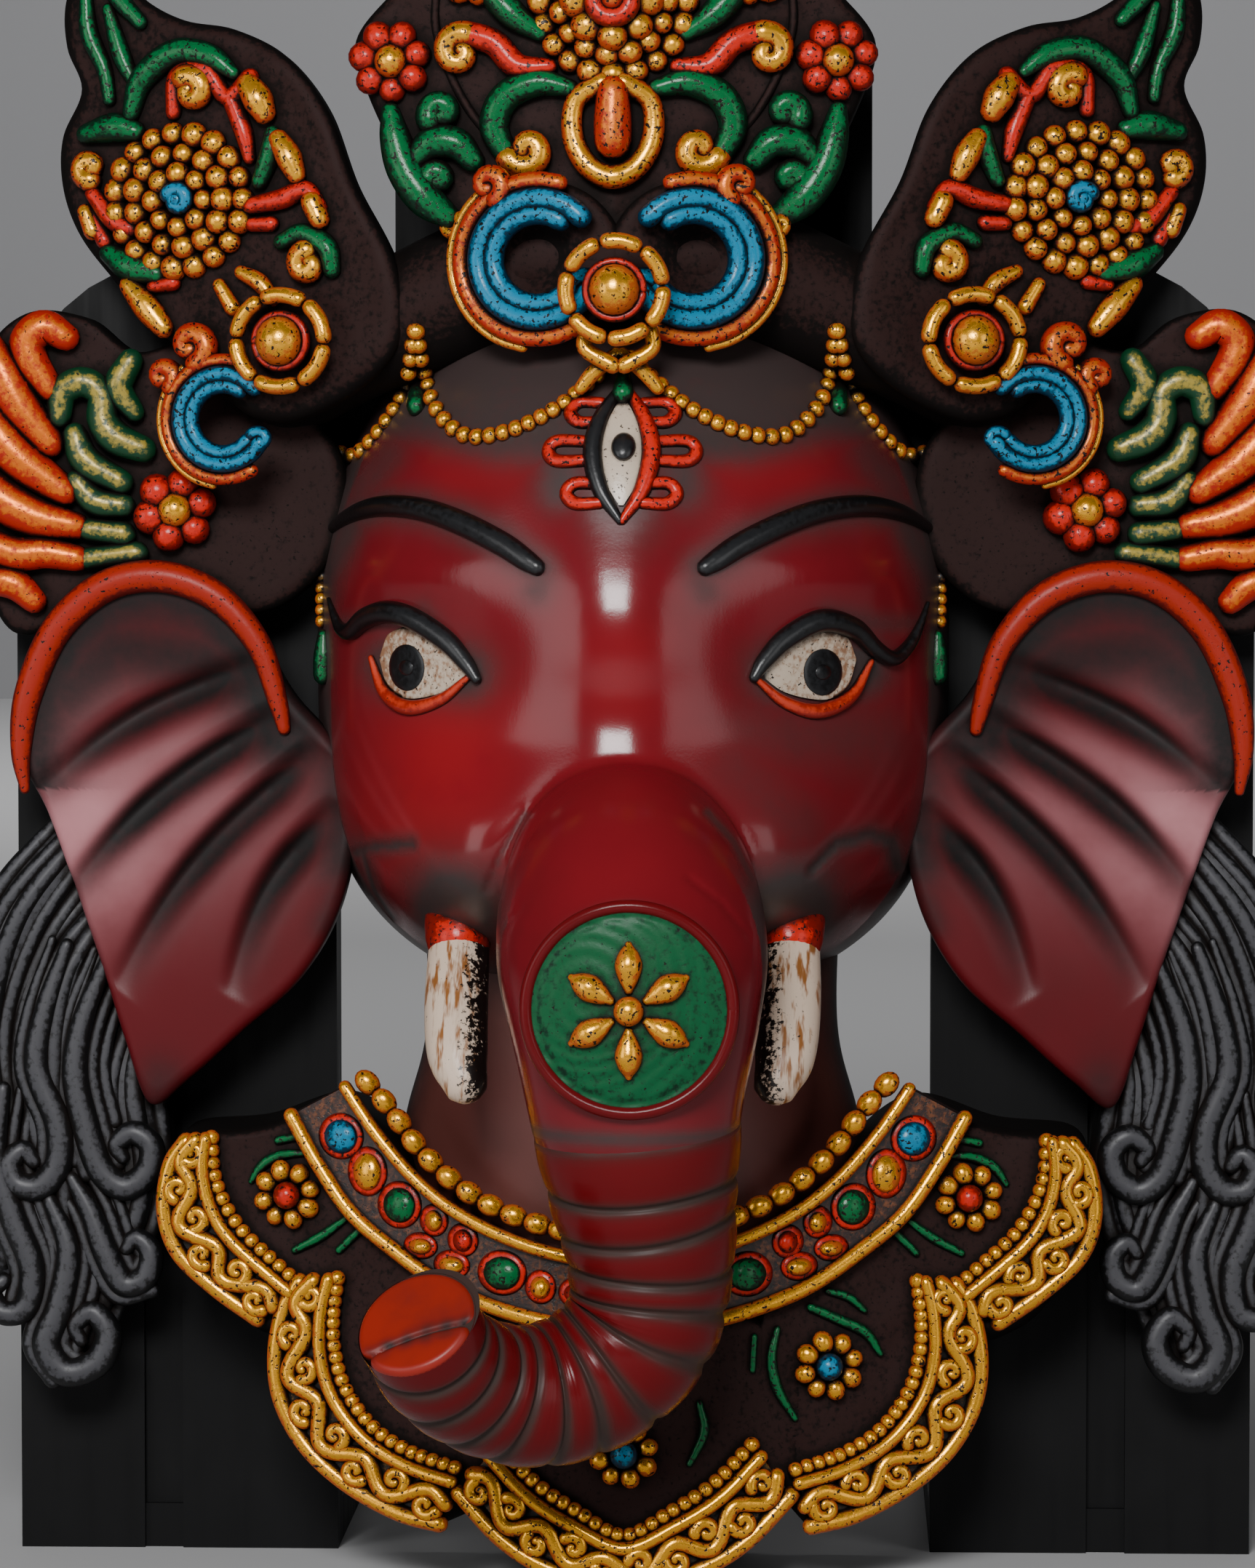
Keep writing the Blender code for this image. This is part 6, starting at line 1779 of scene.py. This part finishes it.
# %% Hair
HAIR_LOCKS = (
    ((98.0, 132.0, 7.0), (110.0, 116.0, 8.6), (115.5, 96.0, 7.6), (113.0, 74.0, 7.4), (113.0, 54.0, 5.0)),
    ((90.0, 122.0, 6.0), (101.0, 106.0, 8.6), (104.0, 86.0, 9.0), (102.0, 64.0, 8.0), (104.0, 46.0, 5.0)),
    ((86.0, 104.0, 6.0), (91.0, 88.0, 8.0), (90.0, 68.0, 8.0), (96.0, 50.0, 7.0), (100.0, 36.0, 4.4)),
)
HAIR_HOOKS = (
    ((101.0, 112.0, 1.2), (105.0, 100.0, 2.0), (106.5, 90.0, 2.4), (102.8, 80.0, 2.6), (102.6, 73.0, 2.6),
     (105.8, 68.6, 2.6), (110.0, 68.8, 2.5), (111.6, 72.4, 2.3), (109.2, 75.0, 1.9), (107.2, 73.0, 1.5)),
    ((93.5, 110.0, 1.2), (98.0, 99.0, 2.0), (99.6, 89.0, 2.5), (97.6, 79.0, 2.7), (95.0, 71.6, 2.7),
     (90.8, 68.4, 2.6), (86.6, 71.2, 2.5), (86.0, 75.8, 2.4), (89.2, 78.2, 2.2), (92.2, 76.0, 1.8),
     (91.2, 73.8, 1.4)),
    ((100.4, 70.0, 1.2), (97.0, 64.0, 2.0), (94.4, 57.0, 2.5), (91.0, 51.0, 2.5), (87.0, 52.4, 2.4),
     (86.2, 56.8, 2.2), (88.8, 59.2, 1.8), (90.6, 57.2, 1.3)),
    ((112.6, 86.0, 1.4), (114.0, 74.0, 2.2), (111.0, 63.0, 2.5), (107.6, 54.0, 2.5), (108.6, 46.8, 2.4),
     (113.0, 45.6, 2.3), (115.0, 49.2, 2.0), (112.8, 51.4, 1.5)),
    ((104.4, 66.0, 1.3), (101.0, 57.0, 2.2), (102.6, 47.0, 2.6), (105.0, 40.0, 2.8), (101.6, 35.0, 2.8),
     (96.0, 36.6, 2.7), (93.8, 41.6, 2.5), (96.6, 45.8, 2.1), (99.8, 43.4, 1.7), (98.8, 40.6, 1.3)),
)
HAIR_DEPTH = -8.0
HOOK_LIFT = 8.4
HOOK_SIDE_STRANDS = ((-2.9, 5, 0.62), (2.9, 5, 0.62), (-5.2, 4, 0.5))
STRAND_GAP = 3.4
STRAND_RADIUS = 1.8


def hair_core(x, z):
    """The y of the middle of the locks."""
    return HAIR_DEPTH + 0.0 * x


def sideways(line):
    """At each point of a line, the direction square to it, of length 1."""
    heading = np.gradient(line[:, :2], axis=0)
    heading /= np.linalg.norm(heading, axis=1)[:, None]
    return np.column_stack([-heading[:, 1], heading[:, 0]])


def strands(lock, side):
    """Strands side by side over the rounded front of one lock."""
    path = smooth_line(mirrored(lock, side), 1.2)
    over = sideways(path)
    count = int(2 * path[:, 2].max() / STRAND_GAP)
    along = np.linspace(0.0, 1.0, len(path))
    made = []
    for i in range(count):
        share = 0.92 * (2.0 * (i + 0.5) / count - 1.0)
        sway = 0.05 * np.sin(6.0 * along + 2.1 * i)
        offset = (share + sway) * path[:, 2]
        x, z = (path[:, :2] + over * offset[:, None]).T
        dome = path[:, 2] * np.sqrt(np.maximum(0.0, 1.0 - np.minimum(1.0, np.abs(share + sway)) ** 2))
        radius = STRAND_RADIUS + 0.25 * math.sin(3.7 * i)
        thick = radius * (0.75 + 0.25 * np.sin(math.pi * along)) * np.minimum(1.0, path[:, 2] / 6.0)
        made.append(np.column_stack([x, HAIR_DEPTH - 0.86 * dome + 0.3, z, thick]))
    return made


def hook(line, side):
    """A strand that ends in a curl, with thinner strands that run beside its upper part."""
    made = [lay(mirrored(line, side), hair_core, HOOK_LIFT, 0.5)]
    for aside, count, share in HOOK_SIDE_STRANDS:
        points = np.array(mirrored(line[:count], side))
        points[:, :2] += sideways(points) * side * aside
        points[:, 2] *= share
        made.append(lay(points, hair_core, HOOK_LIFT - 1.0, 0.6))
    return made


for side, word in SIDES:
    cores = [lay([(x, z, r - 0.5) for x, z, r in mirrored(lock, side)], hair_core) for lock in HAIR_LOCKS]
    lines = [line for lock in HAIR_LOCKS for line in strands(lock, side)]
    lines += [line for curled in HAIR_HOOKS for line in hook(curled, side)]
    cast(cords(lines + cores, 12), "hair_" + word, HAIR_BLACK, 80.0)
print("strands a side:", len(lines))

# %% [markdown]
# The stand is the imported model's own piece. It keeps its shape and gets a satin black paint with
# faint brush marks and a little dust.

# %% The stand's paint
def stand_paint():
    """Satin black board paint."""
    material, tree, shader = new_material("black_board")
    place = add(tree, "TexCoord").outputs["Object"]
    brushed = add(tree, "Mapping", {"Vector": place, "Scale": (1.0, 1.0, 0.06)}).outputs["Vector"]
    streaks = noise(tree, brushed, 0.004, 3.0)
    dust = noise(tree, place, 0.03, 4.0)
    tint = mix(tree, ramp(tree, dust, 0.4, 0.8, 0.0, 0.5), colour(9, 9, 10), colour(20, 20, 21))
    tree.links.new(tint, shader.inputs["Base Color"])
    shader.inputs["Specular IOR Level"].default_value = 0.18
    tree.links.new(ramp(tree, streaks, 0.3, 0.7, 0.46, 0.60), shader.inputs["Roughness"])
    roughen(tree, shader, streaks, 0.12, PAINT_RELIEF)
    return material


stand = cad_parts["display_stand"]
stand.data.materials.clear()
stand.data.materials.append(stand_paint())
print("stand painted")

# %% [markdown]
# The studio is a pale table, a grey wall far behind, and soft lamps: a large one above the camera,
# whose reflection makes the broad highlights on the nose bridge, a weak one at each side to open the
# shadows, and two that wash the table and the wall behind.

# %% Studio, lamps and camera
STAGE_SIZE = 12.0


def stage_plane(name, place, tilt, screen):
    """A large plain surface that isn't part of the object."""
    bpy.ops.object.select_all(action="DESELECT")
    bpy.ops.mesh.primitive_plane_add(size=STAGE_SIZE, location=place, rotation=(tilt, 0.0, 0.0))
    plane = bpy.context.object
    plane.name = name
    material, _, shader = new_material(name)
    shader.inputs["Base Color"].default_value = colour(*screen)
    shader.inputs["Roughness"].default_value = 0.85
    plane.data.materials.append(material)
    plane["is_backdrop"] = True


def aimed(place, aim):
    """The turn that points a lamp or the camera from a place at an aim."""
    return (Vector(aim) - Vector(place)).to_track_quat("-Z", "Y").to_euler()


def lamp(name, place, aim, size, power):
    """An upright soft lamp, its width and height given, aimed at a point."""
    light = bpy.data.lights.new(name, "AREA")
    light.shape = "RECTANGLE"
    light.size, light.size_y = size
    light.energy = power
    made = bpy.data.objects.new(name, light)
    made.location = place
    made.rotation_euler = aimed(place, aim)
    bpy.context.scene.collection.objects.link(made)


CAMERA_PLACE = (0.035, -1.030 + BACK_PLANE, 0.1937)
CAMERA_AIM = (0.0, -0.030 + BACK_PLANE, 0.1417)
FRAME_WIDTH = 0.2208
SENSOR = 36.0
FACE_AIM = (0.0, 0.0, 0.15)
stage_plane("table", (0.0, 0.0, 0.0), 0.0, (200, 200, 201))
stage_plane("wall", (0.0, 4.2, 2.0), math.pi / 2, (150, 150, 152))
lamp("key", (-0.12, -1.05, 0.62), FACE_AIM, (0.38, 0.27), 11.5)
lamp("fill_right", (0.85, -0.85, 0.35), FACE_AIM, (0.5, 0.7), 1.8)
lamp("fill_left", (-0.85, -0.75, 0.30), FACE_AIM, (0.5, 0.7), 2.8)
lamp("table_wash", (0.0, 0.7, 1.5), (0.0, 3.2, 0.2), (1.6, 0.8), 16.0)
lamp("wall_wash", (0.0, 2.2, 1.6), (0.0, 4.2, 0.6), (1.6, 0.8), 31.0)
world = bpy.data.worlds.new("studio")
world.use_nodes = True
world.node_tree.nodes["Background"].inputs["Color"].default_value = (1.0, 1.0, 1.0, 1.0)
world.node_tree.nodes["Background"].inputs["Strength"].default_value = 0.03
bpy.context.scene.world = world

reach = (Vector(CAMERA_AIM) - Vector(CAMERA_PLACE)).length
camera = bpy.data.objects.new("camera", bpy.data.cameras.new("camera"))
camera.data.sensor_fit = "HORIZONTAL"
camera.data.sensor_width = SENSOR
camera.data.lens = SENSOR * reach / FRAME_WIDTH
camera.location = CAMERA_PLACE
camera.rotation_euler = aimed(CAMERA_PLACE, CAMERA_AIM)
bpy.context.scene.collection.objects.link(camera)
bpy.context.scene.camera = camera
print("camera lens", round(camera.data.lens), "mm")

# %% [markdown]
# Last, the box round the painted model is worked out, and its pieces and faces are counted.

# %% Sizes
low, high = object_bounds()
print(len(cast_pieces), "cast pieces,", sum(len(p.data.polygons) for p in cast_pieces), "faces")
